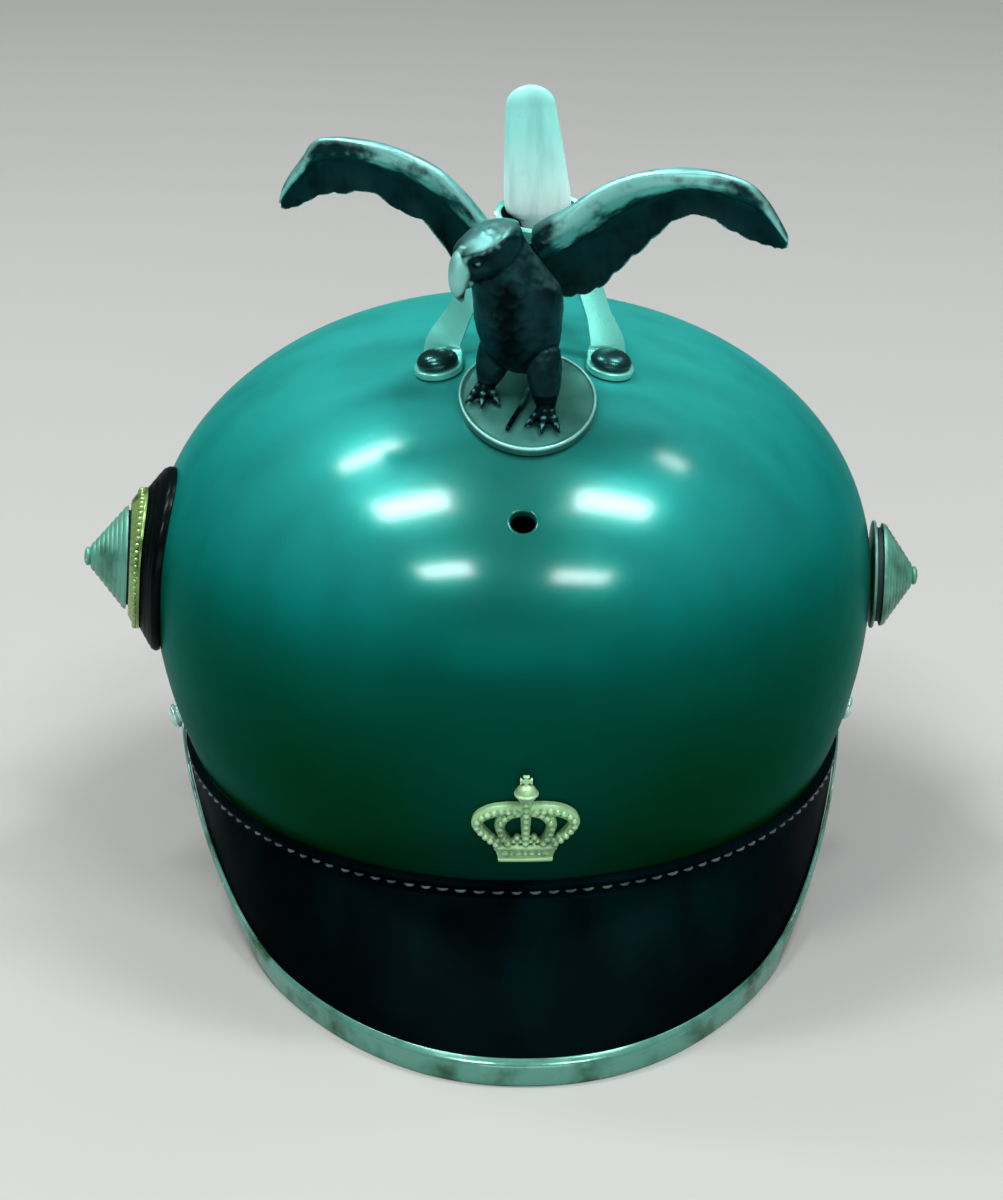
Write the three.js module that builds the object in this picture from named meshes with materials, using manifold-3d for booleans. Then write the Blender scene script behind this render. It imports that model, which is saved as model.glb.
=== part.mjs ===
// Leather parade helmet with a spread eagle, a plume holder and rosettes at the sides.
// Millimetres, +Z up, the front peak towards -Y, resting on the floor at z = 0.
// Heights are above the floor; "forward" is the distance in front of the skull's upright axis.
import * as THREE from "three";
import { mergeVertices } from "three/addons/utils/BufferGeometryUtils.js";
import Module from "manifold-3d";

const wasm = await Module();
wasm.setup();

const GAP = 0.3;
const SIDES = [
  { name: "left", sign: -1 },
  { name: "right", sign: 1 },
];

// The oval leather skull: widest at bulgeZ, domed above it and tucked in below it.
const SKULL = {
  halfWidth: 100,
  halfLength: 119,
  bulgeZ: 83,
  crownRise: 70,
  domePower: 2.13,
  tuck: 0.104,
  tuckSpan: 49,
  rimZ: 30,
  wall: 2.4,
  around: 48,
  domeRows: 10,
  tuckRows: 3,
};
const VENT = { forward: 95, radius: 3.3, depth: 12, around: 18 };

// The two peaks: a flange lapped over the rim from seamZ down, then a blade out to the edge.
const PEAK = {
  seamZ: 35,
  lap: 4,
  thickness: 2.2,
  halfWidth: 92.5,
  cornerZ: 33,
  widthPower: 0.917,
  endAngle: 89.5,
  sections: 40,
};
const FRONT_PEAK = { facing: 1, reach: 150, edgeZ: 5, flatAngle: 39, reachPower: 1.48, bow: 1.6 };
const REAR_PEAK = {
  facing: -1,
  reach: 136,
  edgeZ: 0,
  flatAngle: 44,
  reachPower: 1.3,
  bow: 1.2,
  levelEdge: true,
};
const BLADE_ROWS = [0, 1, 1.34, 1.67, 2];

// The metal binding of the front peak: a lip on top and a drop face outside the edge.
const TRIM = {
  lip: 1.6,
  sheet: 0.8,
  wall: 1.2,
  out: 1.5,
  drop: 5,
  endDrop: 1.6,
  taperFrom: 39,
  taperTo: 62,
};

const TOP_ACROSS = 2.5;
const PLATE = {
  forward: 54,
  halfLength: 23,
  halfWidth: 17.7,
  sheet: 1.6,
  bead: 2.7,
  beadWidth: 1.5,
  around: 28,
};

const CROWN = { bottomZ: 44.2, rise: 0.966, depth: 2.4, orbV: 21.4, orbR: 2.5, crossV: 25.2 };
const CROWN_BAND = { bottomHalf: 5.8, topHalf: 7.3, height: 5.2, depth: 3 };
const CROWN_CROSS = { half: 1.5, arm: 0.55, depth: 1.3 };
// Hoops of the crown, each through a few marks from the band to the dip under the orb.
const CROWN_HOOP_STEPS = 8;
const CROWN_OUTER_HOOP = [
  { across: 6.2, up: 4.6 },
  { across: 9.8, up: 8 },
  { across: 12.3, up: 12 },
  { across: 11.6, up: 15.9 },
  { across: 8.2, up: 17.8 },
  { across: 4, up: 17.6 },
  { across: 0.6, up: 17 },
];
const CROWN_INNER_HOOP = [
  { across: 3.6, up: 4.6 },
  { across: 6, up: 8.6 },
  { across: 6.5, up: 12.4 },
  { across: 4.6, up: 15.4 },
  { across: 0.6, up: 17 },
];
const CROWN_MIDDLE_HOOP = [
  { across: 0, up: 4.6 },
  { across: 0, up: 11 },
  { across: 0, up: 19.4 },
];
const CROWN_HOOPS = [
  { width: 2.2, signs: [-1, 1], marks: CROWN_OUTER_HOOP },
  { width: 1.9, signs: [-1, 1], marks: CROWN_INNER_HOOP },
  { width: 2.2, signs: [1], marks: CROWN_MIDDLE_HOOP },
];

// The plume socket: an oval funnel with a slanted mouth, held up by three straps.
const BRACKET = {
  across: 7.4,
  forward: 18,
  baseZ: 166,
  baseHalfWidth: 5.5,
  baseHalfDepth: 4.6,
  mouthHalfWidth: 12.2,
  mouthHalfDepth: 8.2,
  frontZ: 183,
  backZ: 190.5,
  sheet: 1.5,
  strapWidth: 7.5,
  footRadius: 6.4,
  footSheet: 1.8,
  sides: 24,
  footSides: 18,
  cutAbove: 8,
};
// How a strap leaves its foot: how far past the foot's edge it bends and rises, and its lean.
const STRAP = { bendOut: 0.6, bendUp: 0.5, riseOut: 1.6, riseUp: 3, lean: 0.6 };
// Feet of the straps, and where each strap meets the funnel.
const FEET = [
  { name: "left", across: -20.1, forward: 36.4, topAcross: -3.2, topForward: 20, topZ: 181 },
  { name: "right", across: 24.7, forward: 35.9, topAcross: 16, topForward: 22, topZ: 181 },
  { name: "rear", across: 5, forward: -13, topAcross: 7.4, topForward: 12, topZ: 178 },
];
const SCREW_PROFILE = [
  { radius: 0, height: 0 },
  { radius: 5.5, height: 0 },
  { radius: 5.5, height: 0.6 },
  { radius: 4.7, height: 1.8 },
  { radius: 2.9, height: 2.7 },
  { radius: 0, height: 3 },
];

// The upright blade: a narrow tang in the funnel, widest just above it, rounded at the top.
const HOLDER = { round: 5.5, roundSteps: 5, sides: 16 };
const HOLDER_ROWS = [
  { z: 167.9, forward: 18, across: 7.4, half: 3, depth: 1.9 },
  { z: 184, forward: 16.7, across: 6.9, half: 5, depth: 2.3 },
  { z: 186.6, forward: 16.3, across: 6.6, half: 8.3, depth: 2.8 },
  { z: 190, forward: 16, across: 6.5, half: 8.8, depth: 2.9 },
  { z: 204, forward: 15.5, across: 5.5, half: 7.8, depth: 2.5 },
  { z: 215, forward: 15.2, across: 4.7, half: 6.6, depth: 2.1 },
];

const ROSETTE = {
  forward: 10,
  leftZ: 88,
  rightZ: 81,
  rimRadius: 15,
  coneRadius: 13.8,
  ridges: 4,
  pitch: 2.6,
  rise: 2.15,
};
const ROSETTE_BASE = { height: 2.4, groove: 1.6 };
const ROSETTE_TIP = { radius: 2.6, neckZ: 11.2, ballZ: 11.5, length: 1.5, steps: 4 };
// The dished cockade under the rosette at the viewer's left, with a metal ring on its face.
const COCKADE = { sign: -1, radius: 25.5, topRadius: 15.2, height: 5, edge: 2.2 };
const COCKADE_RING = { inner: 15.6, outer: 21, sheet: 1, steps: 3 };
const ROUND_SEGMENTS = 18;

const STUD = { forward: 8, z: 41 };
const STUD_PROFILE = [
  { radius: 0, height: 0 },
  { radius: 4, height: 0 },
  { radius: 4, height: 0.8 },
  { radius: 3.4, height: 2.6 },
  { radius: 1.9, height: 3.9 },
  { radius: 0, height: 4.3 },
];

// The eagle, in its own frame: across to the viewer's right, forward, and up from the plate's middle.
const EAGLE = { forward: 58, yaw: 12, bodySides: 14 };
const EAGLE_BODY = [
  { up: 8, across: -1.2, forward: -1, halfWidth: 5, halfDepth: 5 },
  { up: 13, across: -1.6, forward: 0, halfWidth: 9, halfDepth: 8 },
  { up: 21, across: -2.1, forward: 2, halfWidth: 10.9, halfDepth: 9.5 },
  { up: 30, across: -2.2, forward: 3.5, halfWidth: 11.3, halfDepth: 9.2 },
  { up: 36, across: -5, forward: 4.2, halfWidth: 10.2, halfDepth: 8.4 },
  { up: 41, across: -6.6, forward: 5, halfWidth: 8.3, halfDepth: 7 },
  { up: 45, across: -7.6, forward: 5.8, halfWidth: 6.8, halfDepth: 6.2 },
];
const EAGLE_HEAD = {
  across: -8,
  forward: 8.6,
  up: 42.6,
  length: 11,
  width: 7.2,
  height: 6.6,
  turn: 50,
  bow: 26,
};
const EAGLE_BEAK = [
  { along: 6, down: -1.2, radius: 4 },
  { along: 8.8, down: -0.2, radius: 3.7 },
  { along: 11.4, down: 2.4, radius: 2.9 },
  { along: 13, down: 5.8, radius: 1.8 },
  { along: 13.2, down: 9, radius: 0.6 },
];
// Wing sections from the root to the tip: place of the leading edge, chord and thickness there.
const EAGLE_WINGS = {
  left: [
    { across: 4, up: 41.4, back: 3, chord: 26, thick: 5 },
    { across: 13, up: 48.6, back: 0.3, chord: 37, thick: 4.9 },
    { across: 22, up: 59, back: -1.1, chord: 37, thick: 4.6 },
    { across: 29, up: 62.8, back: -1.4, chord: 26.5, thick: 4.2 },
    { across: 36, up: 65.2, back: -1.2, chord: 24, thick: 4 },
    { across: 46, up: 66.5, back: -0.3, chord: 20, thick: 3.5 },
    { across: 55.5, up: 65.2, back: 1.3, chord: 20, thick: 3.1 },
    { across: 59.5, up: 60, back: 2.6, chord: 15.6, thick: 2.8 },
    { across: 63.5, up: 54.4, back: 4.4, chord: 10.8, thick: 2.4 },
    { across: 66.2, up: 48.4, back: 6.4, chord: 3, thick: 1.9 },
  ],
  right: [
    { across: 4, up: 33, back: 3, chord: 16, thick: 5 },
    { across: 10, up: 44.5, back: 1, chord: 25.5, thick: 5 },
    { across: 16, up: 52.7, back: -0.4, chord: 32.5, thick: 4.8 },
    { across: 22, up: 58.1, back: -1.1, chord: 31.7, thick: 4.6 },
    { across: 29, up: 61.1, back: -1.4, chord: 26.8, thick: 4.2 },
    { across: 37, up: 62.3, back: -1.2, chord: 18.5, thick: 3.9 },
    { across: 45, up: 62.1, back: -0.5, chord: 18, thick: 3.6 },
    { across: 54, up: 59.8, back: 1, chord: 22, thick: 3.1 },
    { across: 60, up: 54.3, back: 2.8, chord: 17.2, thick: 2.7 },
    { across: 65.6, up: 43.9, back: 5.6, chord: 3, thick: 2.1 },
  ],
};
const WING = { tilt: 36, camber: 0.1, edge: 0.45, chordSteps: 5 };
const EAGLE_LEGS = [
  { hipAcross: 4.2, hipForward: 3, hipUp: 17, footAcross: 6.7, footForward: 64.5 },
  { hipAcross: -7.2, hipForward: -1, hipUp: 17, footAcross: -8, footForward: 54.3 },
];
const LEG_RADII = [
  { share: 0, radius: 5.6 },
  { share: 0.35, radius: 4.6 },
  { share: 0.7, radius: 2.6 },
  { share: 1, radius: 1.9 },
];
const TOES = {
  angles: [-38, 0, 38, 180],
  length: 6.4,
  backLength: 4.6,
  radius: 1.35,
  tipRadius: 0.55,
  arch: 1.5,
};
const EAGLE_TAIL = [
  { back: 3, up: 22, halfWidth: 4.5, halfDepth: 3.4 },
  { back: 9, up: 18, halfWidth: 5.5, halfDepth: 2.4 },
  { back: 16, up: 14.5, halfWidth: 7, halfDepth: 1.6 },
  { back: 23, up: 12, halfWidth: 8.4, halfDepth: 1.1 },
];

const FRONT_OUT = FRONT_PEAK.reach + TRIM.out;
const COLOURS = {
  leather: 0x17443f,
  patent: 0x10141c,
  bronze: 0x3d4b44,
  brass: 0xb59a55,
  nickel: 0xb9b9a6,
  black: 0x111111,
};

const rad = THREE.MathUtils.degToRad;
const at = (x, y, z) => new THREE.Vector3(x, y, z);
const smooth = (t) => THREE.MathUtils.smoothstep(t, 0, 1);

// Share of the full oval that the skull has at a height.
function ovalShare(z) {
  if (z < SKULL.bulgeZ) {
    return 1 - SKULL.tuck * ((SKULL.bulgeZ - z) / SKULL.tuckSpan) ** 2;
  }
  const rise = Math.min(1, (z - SKULL.bulgeZ) / SKULL.crownRise);
  return (1 - rise ** SKULL.domePower) ** (1 / SKULL.domePower);
}

// Outward direction of the skull's face at a point on it.
function skullNormal(p) {
  const step = 0.05;
  const slope = (ovalShare(p.z + step) ** 2 - ovalShare(p.z - step) ** 2) / (4 * step);
  return at(p.x / SKULL.halfWidth ** 2, p.y / SKULL.halfLength ** 2, -slope).normalize();
}

// Point on the skull at an angle from the front and a height, moved out by an offset.
function skullAt(angle, z, offset) {
  const share = ovalShare(z);
  const p = at(share * SKULL.halfWidth * Math.sin(angle), -share * SKULL.halfLength * Math.cos(angle), z);
  return p.addScaledVector(skullNormal(p), offset);
}

// Point above the dome of the skull at a place in plan, moved out by an offset.
function domeAt(across, forward, offset) {
  const share = Math.hypot(across / SKULL.halfWidth, forward / SKULL.halfLength);
  const rise = (1 - share ** SKULL.domePower) ** (1 / SKULL.domePower);
  const p = at(across, -forward, SKULL.bulgeZ + SKULL.crownRise * rise);
  return p.addScaledVector(skullNormal(p), offset);
}

// Closed solid of a geometry, with seams merged and faces turned outwards.
function solidOf(geometry) {
  const bare = geometry.clone();
  bare.deleteAttribute("normal");
  bare.deleteAttribute("uv");
  const merged = mergeVertices(bare, 1e-3);
  const faces = [];
  const index = merged.index.array;
  for (let i = 0; i < index.length; i += 3) {
    const [a, b, c] = [index[i], index[i + 1], index[i + 2]];
    if (a !== b && b !== c && a !== c) {
      faces.push([a, b, c]);
    }
  }
  const make = (list) =>
    new wasm.Manifold(
      new wasm.Mesh({
        numProp: 3,
        vertProperties: merged.attributes.position.array,
        triVerts: new Uint32Array(list.flat()),
      }),
    );
  const solid = make(faces);
  return solid.volume() < 0 ? make(faces.map(([a, b, c]) => [a, c, b])) : solid;
}

const join = (solids) => solids.reduce((whole, next) => whole.add(next));

function geometryOf(points, index) {
  const geometry = new THREE.BufferGeometry().setFromPoints(points);
  geometry.setIndex(index);
  return geometry;
}

// Solid skin through closed rings of points, with a flat cap at each end.
function loft(rings) {
  const size = rings[0].length;
  const points = rings.flat();
  const index = [];
  for (let r = 0; r + 1 < rings.length; r += 1) {
    for (let s = 0; s < size; s += 1) {
      const a = r * size + s;
      const b = r * size + ((s + 1) % size);
      index.push(a, b, b + size, a, b + size, a + size);
    }
  }
  [0, rings.length - 1].forEach((r) => {
    const hub = points.length;
    points.push(rings[r].reduce((sum, p) => sum.add(p), at(0, 0, 0)).divideScalar(size));
    for (let s = 0; s < size; s += 1) {
      const ends = [r * size + s, r * size + ((s + 1) % size)];
      index.push(hub, ...(r === 0 ? ends.reverse() : ends));
    }
  });
  return solidOf(geometryOf(points, index));
}

// Solid sheet between an outer and an inner grid of points of the same size.
function sheet(outer, inner) {
  const rows = outer.length;
  const columns = outer[0].length;
  const points = [...outer.flat(), ...inner.flat()];
  const shift = rows * columns;
  const index = [];
  const quad = (a, b, c, d) => index.push(a, b, c, a, c, d);
  for (let r = 0; r < rows; r += 1) {
    for (let c = 0; c < columns; c += 1) {
      const a = r * columns + c;
      if (r + 1 < rows && c + 1 < columns) {
        quad(a, a + 1, a + columns + 1, a + columns);
        quad(shift + a, shift + a + columns, shift + a + columns + 1, shift + a + 1);
      }
      if (r + 1 < rows && c === 0) {
        quad(a, a + columns, shift + a + columns, shift + a);
      }
      if (r + 1 < rows && c + 1 === columns) {
        quad(a, shift + a, shift + a + columns, a + columns);
      }
      if (c + 1 < columns && r === 0) {
        quad(a, shift + a, shift + a + 1, a + 1);
      }
      if (c + 1 < columns && r + 1 === rows) {
        quad(a, a + 1, shift + a + 1, shift + a);
      }
    }
  }
  return solidOf(geometryOf(points, index));
}

// Oval ring of points round a centre, in the plane of two half-axis vectors.
function ovalRing(centre, sideAxis, depthAxis, count) {
  return Array.from({ length: count }, (_, s) => {
    const turn = (2 * Math.PI * s) / count;
    return centre
      .clone()
      .addScaledVector(sideAxis, Math.cos(turn))
      .addScaledVector(depthAxis, Math.sin(turn));
  });
}

// Tapered round bar through points with a radius at each.
function bar(points, radii, count) {
  const rings = points.map((p, i) => {
    const ahead = points[Math.min(i + 1, points.length - 1)].clone();
    const along = ahead.sub(points[Math.max(i - 1, 0)]).normalize();
    const side = at(0.13, 0.21, 0.97).cross(along);
    if (side.length() < 0.3) {
      side.copy(at(0.97, 0.13, 0.21).cross(along));
    }
    side.normalize();
    const depth = along.clone().cross(side).multiplyScalar(radii[i]);
    return ovalRing(p, side.multiplyScalar(radii[i]), depth, count);
  });
  return loft(rings);
}

// Turned solid from a profile of radius and height, standing on a point along a direction.
function turned(profile, foot, axis, segments) {
  const outline = profile.map((row) => new THREE.Vector2(row.radius, row.height));
  const geometry = new THREE.LatheGeometry(outline, segments);
  const stand = new THREE.Quaternion().setFromUnitVectors(at(0, 1, 0), axis);
  geometry.applyMatrix4(new THREE.Matrix4().compose(foot, stand, at(1, 1, 1)));
  return solidOf(geometry);
}

// Hollow leather dome with the vent hole through its upper front.
function buildSkull() {
  const outer = [];
  for (let i = 0; i < SKULL.tuckRows; i += 1) {
    const z = SKULL.rimZ + ((SKULL.bulgeZ - SKULL.rimZ) * i) / SKULL.tuckRows;
    outer.push({ radius: SKULL.halfWidth * ovalShare(z), height: z });
  }
  for (let i = 0; i <= SKULL.domeRows; i += 1) {
    const lift = (Math.PI / 2) * (i / SKULL.domeRows);
    outer.push({
      radius: i === SKULL.domeRows ? 0 : SKULL.halfWidth * Math.cos(lift) ** (2 / SKULL.domePower),
      height: SKULL.bulgeZ + SKULL.crownRise * Math.sin(lift) ** (2 / SKULL.domePower),
    });
  }
  const inner = outer.map((row, i) => {
    const below = outer[Math.max(i - 1, 0)];
    const above = outer[Math.min(i + 1, outer.length - 1)];
    const along = new THREE.Vector2(above.radius - below.radius, above.height - below.height).normalize();
    const radius = row.radius - SKULL.wall * along.y;
    const isRim = i === 0;
    const isTop = i === outer.length - 1;
    return {
      radius: isTop ? 0 : radius,
      height: isRim ? row.height : row.height - SKULL.wall * (isTop ? 1 : -along.x),
    };
  });
  const profile = [...outer, ...inner.reverse(), outer[0]];
  const outline = profile.map((row) => new THREE.Vector2(row.radius, row.height));
  const dome = new THREE.LatheGeometry(outline, SKULL.around);
  dome.rotateX(Math.PI / 2);
  dome.scale(1, SKULL.halfLength / SKULL.halfWidth, 1);
  const mouth = domeAt(0, VENT.forward, -VENT.depth / 2);
  const drill = [
    { radius: 0, height: 0 },
    { radius: VENT.radius, height: 0 },
    { radius: VENT.radius, height: VENT.depth },
    { radius: 0, height: VENT.depth },
  ];
  return solidOf(dome).subtract(turned(drill, mouth, skullNormal(domeAt(0, VENT.forward, 0)), VENT.around));
}

// Edge of a peak at an angle from its middle; level in the middle, rising to the corners.
function peakEdge(peak, angle) {
  const turn = Math.abs(angle);
  const flat = rad(peak.flatAngle);
  const lift = smooth((turn - flat) / (Math.PI / 2 - flat));
  const across = Math.sign(angle) * PEAK.halfWidth * Math.sin(turn) ** PEAK.widthPower;
  const forward = peak.reach * Math.cos(turn) ** peak.reachPower;
  return at(across, -peak.facing * forward, peak.edgeZ + (PEAK.cornerZ - peak.edgeZ) * lift);
}

// Point on the upper face of a peak: row 0 is the lapped edge, 1 the fold, 2 the outer edge.
function peakAt(peak, angle, row) {
  const lap = PEAK.lap * (1 - (Math.abs(angle) / (Math.PI / 2)) ** 3);
  const compass = peak.facing > 0 ? angle : Math.PI - angle;
  const onLap = skullAt(compass, PEAK.seamZ - lap * Math.min(row, 1), GAP + PEAK.thickness);
  if (row <= 1) {
    return onLap;
  }
  const share = row - 1;
  const bow = peak.bow * 4 * share * (1 - share) * Math.cos(angle);
  return onLap.lerp(peakEdge(peak, angle), share).add(at(0, 0, bow));
}

// Outward direction of the upper face of a peak.
function peakNormal(peak, angle, row) {
  const step = 0.02;
  const limit = rad(PEAK.endAngle);
  const along = peakAt(peak, Math.min(angle + step, limit), row);
  along.sub(peakAt(peak, Math.max(angle - step, -limit), row));
  const down = peakAt(peak, angle, Math.min(row + step, 2));
  down.sub(peakAt(peak, angle, Math.max(row - step, 0)));
  return down.cross(along).multiplyScalar(peak.facing).normalize();
}

function peakAngles() {
  const limit = rad(PEAK.endAngle);
  return Array.from({ length: PEAK.sections + 1 }, (_, i) => limit * ((2 * i) / PEAK.sections - 1));
}

// Leather sheet of one peak; a level edge is cut flat to stand on the floor.
function buildPeak(peak) {
  const outer = peakAngles().map((angle) => BLADE_ROWS.map((row) => peakAt(peak, angle, row)));
  const inner = peakAngles().map((angle, i) =>
    BLADE_ROWS.map((row, j) => {
      const p = outer[i][j].clone().addScaledVector(peakNormal(peak, angle, row), -PEAK.thickness);
      if (peak.levelEdge && row === 2) {
        const down = outer[i][j].clone().sub(outer[i][j - 1]);
        p.addScaledVector(down, (outer[i][j].z - p.z) / Math.min(down.z, -0.4));
      }
      return p;
    }),
  );
  return sheet(outer, inner);
}

// Metal binding along the edge of the front peak.
function buildTrim() {
  const outer = [];
  const inner = [];
  peakAngles().forEach((angle) => {
    const edge = peakAt(FRONT_PEAK, angle, 2);
    const normal = peakNormal(FRONT_PEAK, angle, 2);
    const run = edge.clone().sub(peakAt(FRONT_PEAK, angle, 1.67)).normalize();
    const level = at(run.x, run.y, 0);
    level.normalize();
    const taper = smooth((Math.abs(angle) - rad(TRIM.taperFrom)) / rad(TRIM.taperTo - TRIM.taperFrom));
    const bottom = edge.z - THREE.MathUtils.lerp(TRIM.drop, TRIM.endDrop, taper);
    const from = (along, off) => edge.clone().addScaledVector(run, along).addScaledVector(normal, off);
    const face = from(TRIM.out, 0.2);
    const foot = face.clone().setZ(bottom);
    outer.push([from(-TRIM.lip, GAP + TRIM.sheet), from(0.6, GAP + TRIM.sheet), face, foot]);
    inner.push([
      from(-TRIM.lip, GAP),
      from(-0.1, GAP),
      from(GAP + 0.1, GAP - 0.1),
      foot.clone().addScaledVector(level, -TRIM.wall),
    ]);
  });
  return sheet(outer, inner);
}

// Oval plate under the eagle, bent to the dome, with a raised bead round its edge.
function buildPlate() {
  const inside = 1 - PLATE.beadWidth / PLATE.halfWidth;
  const rows = [
    { share: 0, height: 0 },
    { share: 0.4, height: 0 },
    { share: 0.75, height: 0 },
    { share: 1, height: 0 },
    { share: 1, height: PLATE.bead * 0.8 },
    { share: (1 + inside) / 2, height: PLATE.bead },
    { share: inside, height: PLATE.bead * 0.8 },
    { share: inside, height: PLATE.sheet },
    { share: 0.5, height: PLATE.sheet },
    { share: 0, height: PLATE.sheet },
  ];
  const outline = rows.map((row) => new THREE.Vector2(row.share, row.height));
  const geometry = new THREE.LatheGeometry(outline, PLATE.around);
  const place = geometry.attributes.position;
  for (let i = 0; i < place.count; i += 1) {
    const across = TOP_ACROSS + PLATE.halfWidth * place.getX(i);
    const forward = PLATE.forward + PLATE.halfLength * place.getZ(i);
    place.setXYZ(i, ...domeAt(across, forward, GAP + place.getY(i)).toArray());
  }
  return solidOf(geometry);
}

// Flat outline raised to a depth.
function raised(points, depth) {
  const shape = new THREE.Shape(points.map((p) => new THREE.Vector2(p.across, p.up)));
  return solidOf(new THREE.ExtrudeGeometry(shape, { depth, bevelEnabled: false }));
}

// One hoop of the crown: a strip of even width along a curve through its marks.
function buildHoop(hoop, sign) {
  const curve = new THREE.CatmullRomCurve3(hoop.marks.map((mark) => at(sign * mark.across, mark.up, 0)));
  const edge = (side) =>
    Array.from({ length: CROWN_HOOP_STEPS + 1 }, (_, i) => {
      const along = curve.getTangentAt(i / CROWN_HOOP_STEPS);
      const middle = curve.getPointAt(i / CROWN_HOOP_STEPS);
      const half = (side * hoop.width) / 2;
      return { across: middle.x - half * along.y, up: middle.y + half * along.x };
    });
  return raised([...edge(1), ...edge(-1).reverse()], CROWN.depth);
}

// Pierced crown made flat, then bent to the front of the skull.
function buildCrown() {
  const band = [
    { across: -CROWN_BAND.bottomHalf, up: 0 },
    { across: CROWN_BAND.bottomHalf, up: 0 },
    { across: CROWN_BAND.topHalf, up: CROWN_BAND.height },
    { across: -CROWN_BAND.topHalf, up: CROWN_BAND.height },
  ];
  const pieces = [raised(band, CROWN_BAND.depth)];
  CROWN_HOOPS.forEach((hoop) => hoop.signs.forEach((sign) => pieces.push(buildHoop(hoop, sign))));
  const orb = new THREE.SphereGeometry(CROWN.orbR, 12, 8);
  orb.translate(0, CROWN.orbV, CROWN.orbR);
  pieces.push(solidOf(orb));
  const arms = [
    { halfAcross: CROWN_CROSS.arm, halfUp: CROWN_CROSS.half },
    { halfAcross: CROWN_CROSS.half, halfUp: CROWN_CROSS.arm },
  ];
  arms.forEach(({ halfAcross, halfUp }) => {
    const arm = new THREE.BoxGeometry(2 * halfAcross, 2 * halfUp, CROWN_CROSS.depth);
    arm.translate(0, CROWN.crossV, CROWN.orbR);
    pieces.push(solidOf(arm));
  });
  return join(pieces).warp((vertex) => {
    const z = CROWN.bottomZ + CROWN.rise * vertex[1];
    const turn = Math.asin(vertex[0] / (ovalShare(z) * SKULL.halfWidth));
    skullAt(turn, z, GAP + vertex[2]).toArray(vertex);
  });
}

// Closed skin of the socket funnel, drawn in by a sheet's thickness for its inside.
function funnel(shrink, floor, above) {
  const centre = at(BRACKET.across, -BRACKET.forward, 0);
  const base = ovalRing(
    centre,
    at(BRACKET.baseHalfWidth - shrink, 0, 0),
    at(0, BRACKET.baseHalfDepth - shrink, 0),
    BRACKET.sides,
  ).map((p) => p.setZ(BRACKET.baseZ + floor));
  const mouth = ovalRing(
    centre,
    at(BRACKET.mouthHalfWidth - shrink, 0, 0),
    at(0, BRACKET.mouthHalfDepth - shrink, 0),
    BRACKET.sides,
  ).map((p) => {
    const back = 0.5 + (p.y + BRACKET.forward) / (2 * BRACKET.mouthHalfDepth);
    return p.setZ(THREE.MathUtils.lerp(BRACKET.frontZ, BRACKET.backZ, back));
  });
  const rings = [base, mouth];
  if (above > 0) {
    rings.push(mouth.map((p) => p.clone().add(at(0, 0, above))));
  }
  return loft(rings);
}

// One strap of the bracket with its round foot on the skull.
function buildStrap(foot) {
  const base = domeAt(foot.across, foot.forward, GAP);
  const normal = skullNormal(domeAt(foot.across, foot.forward, 0));
  const disc = [
    { radius: 0, height: 0 },
    { radius: BRACKET.footRadius, height: 0 },
    { radius: BRACKET.footRadius, height: BRACKET.footSheet },
    { radius: 0, height: BRACKET.footSheet },
  ];
  const top = at(foot.topAcross, -foot.topForward, foot.topZ);
  const flatWay = at(0, Math.sign(foot.forward), 0);
  flatWay.addScaledVector(normal, -flatWay.dot(normal)).normalize();
  const lay = base.clone().addScaledVector(normal, BRACKET.footSheet / 2);
  const beyond = (out, up) =>
    lay.clone().addScaledVector(flatWay, BRACKET.footRadius + out).addScaledVector(normal, up);
  const path = [lay, beyond(STRAP.bendOut, STRAP.bendUp), beyond(STRAP.riseOut, STRAP.riseUp), top];
  const facing = flatWay.clone().negate().addScaledVector(normal, STRAP.lean);
  const rings = path.map((p, i) => {
    const along = path[Math.min(i + 1, 3)].clone().sub(path[Math.max(i - 1, 0)]).normalize();
    const across = along.clone().cross(facing).normalize().multiplyScalar(BRACKET.strapWidth / 2);
    const out = across.clone().cross(along).normalize().multiplyScalar(BRACKET.sheet / 2);
    const corner = (side, depth) => p.clone().addScaledVector(across, side).addScaledVector(out, depth);
    return [corner(-1, -1), corner(1, -1), corner(1, 1), corner(-1, 1)];
  });
  return turned(disc, base, normal, BRACKET.footSides).add(loft(rings));
}

// Sheet-metal funnel on three straps, soldered into one piece.
function buildBracket() {
  const hollow = funnel(BRACKET.sheet, BRACKET.sheet, BRACKET.cutAbove);
  return join([funnel(0, 0, 0), ...FEET.map(buildStrap)]).subtract(hollow);
}

// Upright blade standing in the funnel, narrowing to a rounded top.
function buildHolder() {
  const ring = (row, z, share) =>
    ovalRing(
      at(row.across, -row.forward, z),
      at(row.half * share, 0, 0),
      at(0, row.depth * Math.sqrt(share), 0),
      HOLDER.sides,
    );
  const rings = HOLDER_ROWS.map((row) => ring(row, row.z, 1));
  const last = HOLDER_ROWS.at(-1);
  for (let i = 1; i <= HOLDER.roundSteps; i += 1) {
    const turn = rad(86) * (i / HOLDER.roundSteps);
    rings.push(ring(last, last.z + HOLDER.round * Math.sin(turn), Math.cos(turn)));
  }
  return loft(rings);
}

// Place and direction of a side ornament on the skull.
function sideSeat(sign, forward, z) {
  const angle = sign * Math.acos(forward / (ovalShare(z) * SKULL.halfLength));
  const seat = skullAt(angle, z, 0);
  return { seat, normal: skullNormal(seat) };
}

const rosetteSeat = (sign) =>
  sideSeat(sign, ROSETTE.forward, sign < 0 ? ROSETTE.leftZ : ROSETTE.rightZ);

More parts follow.
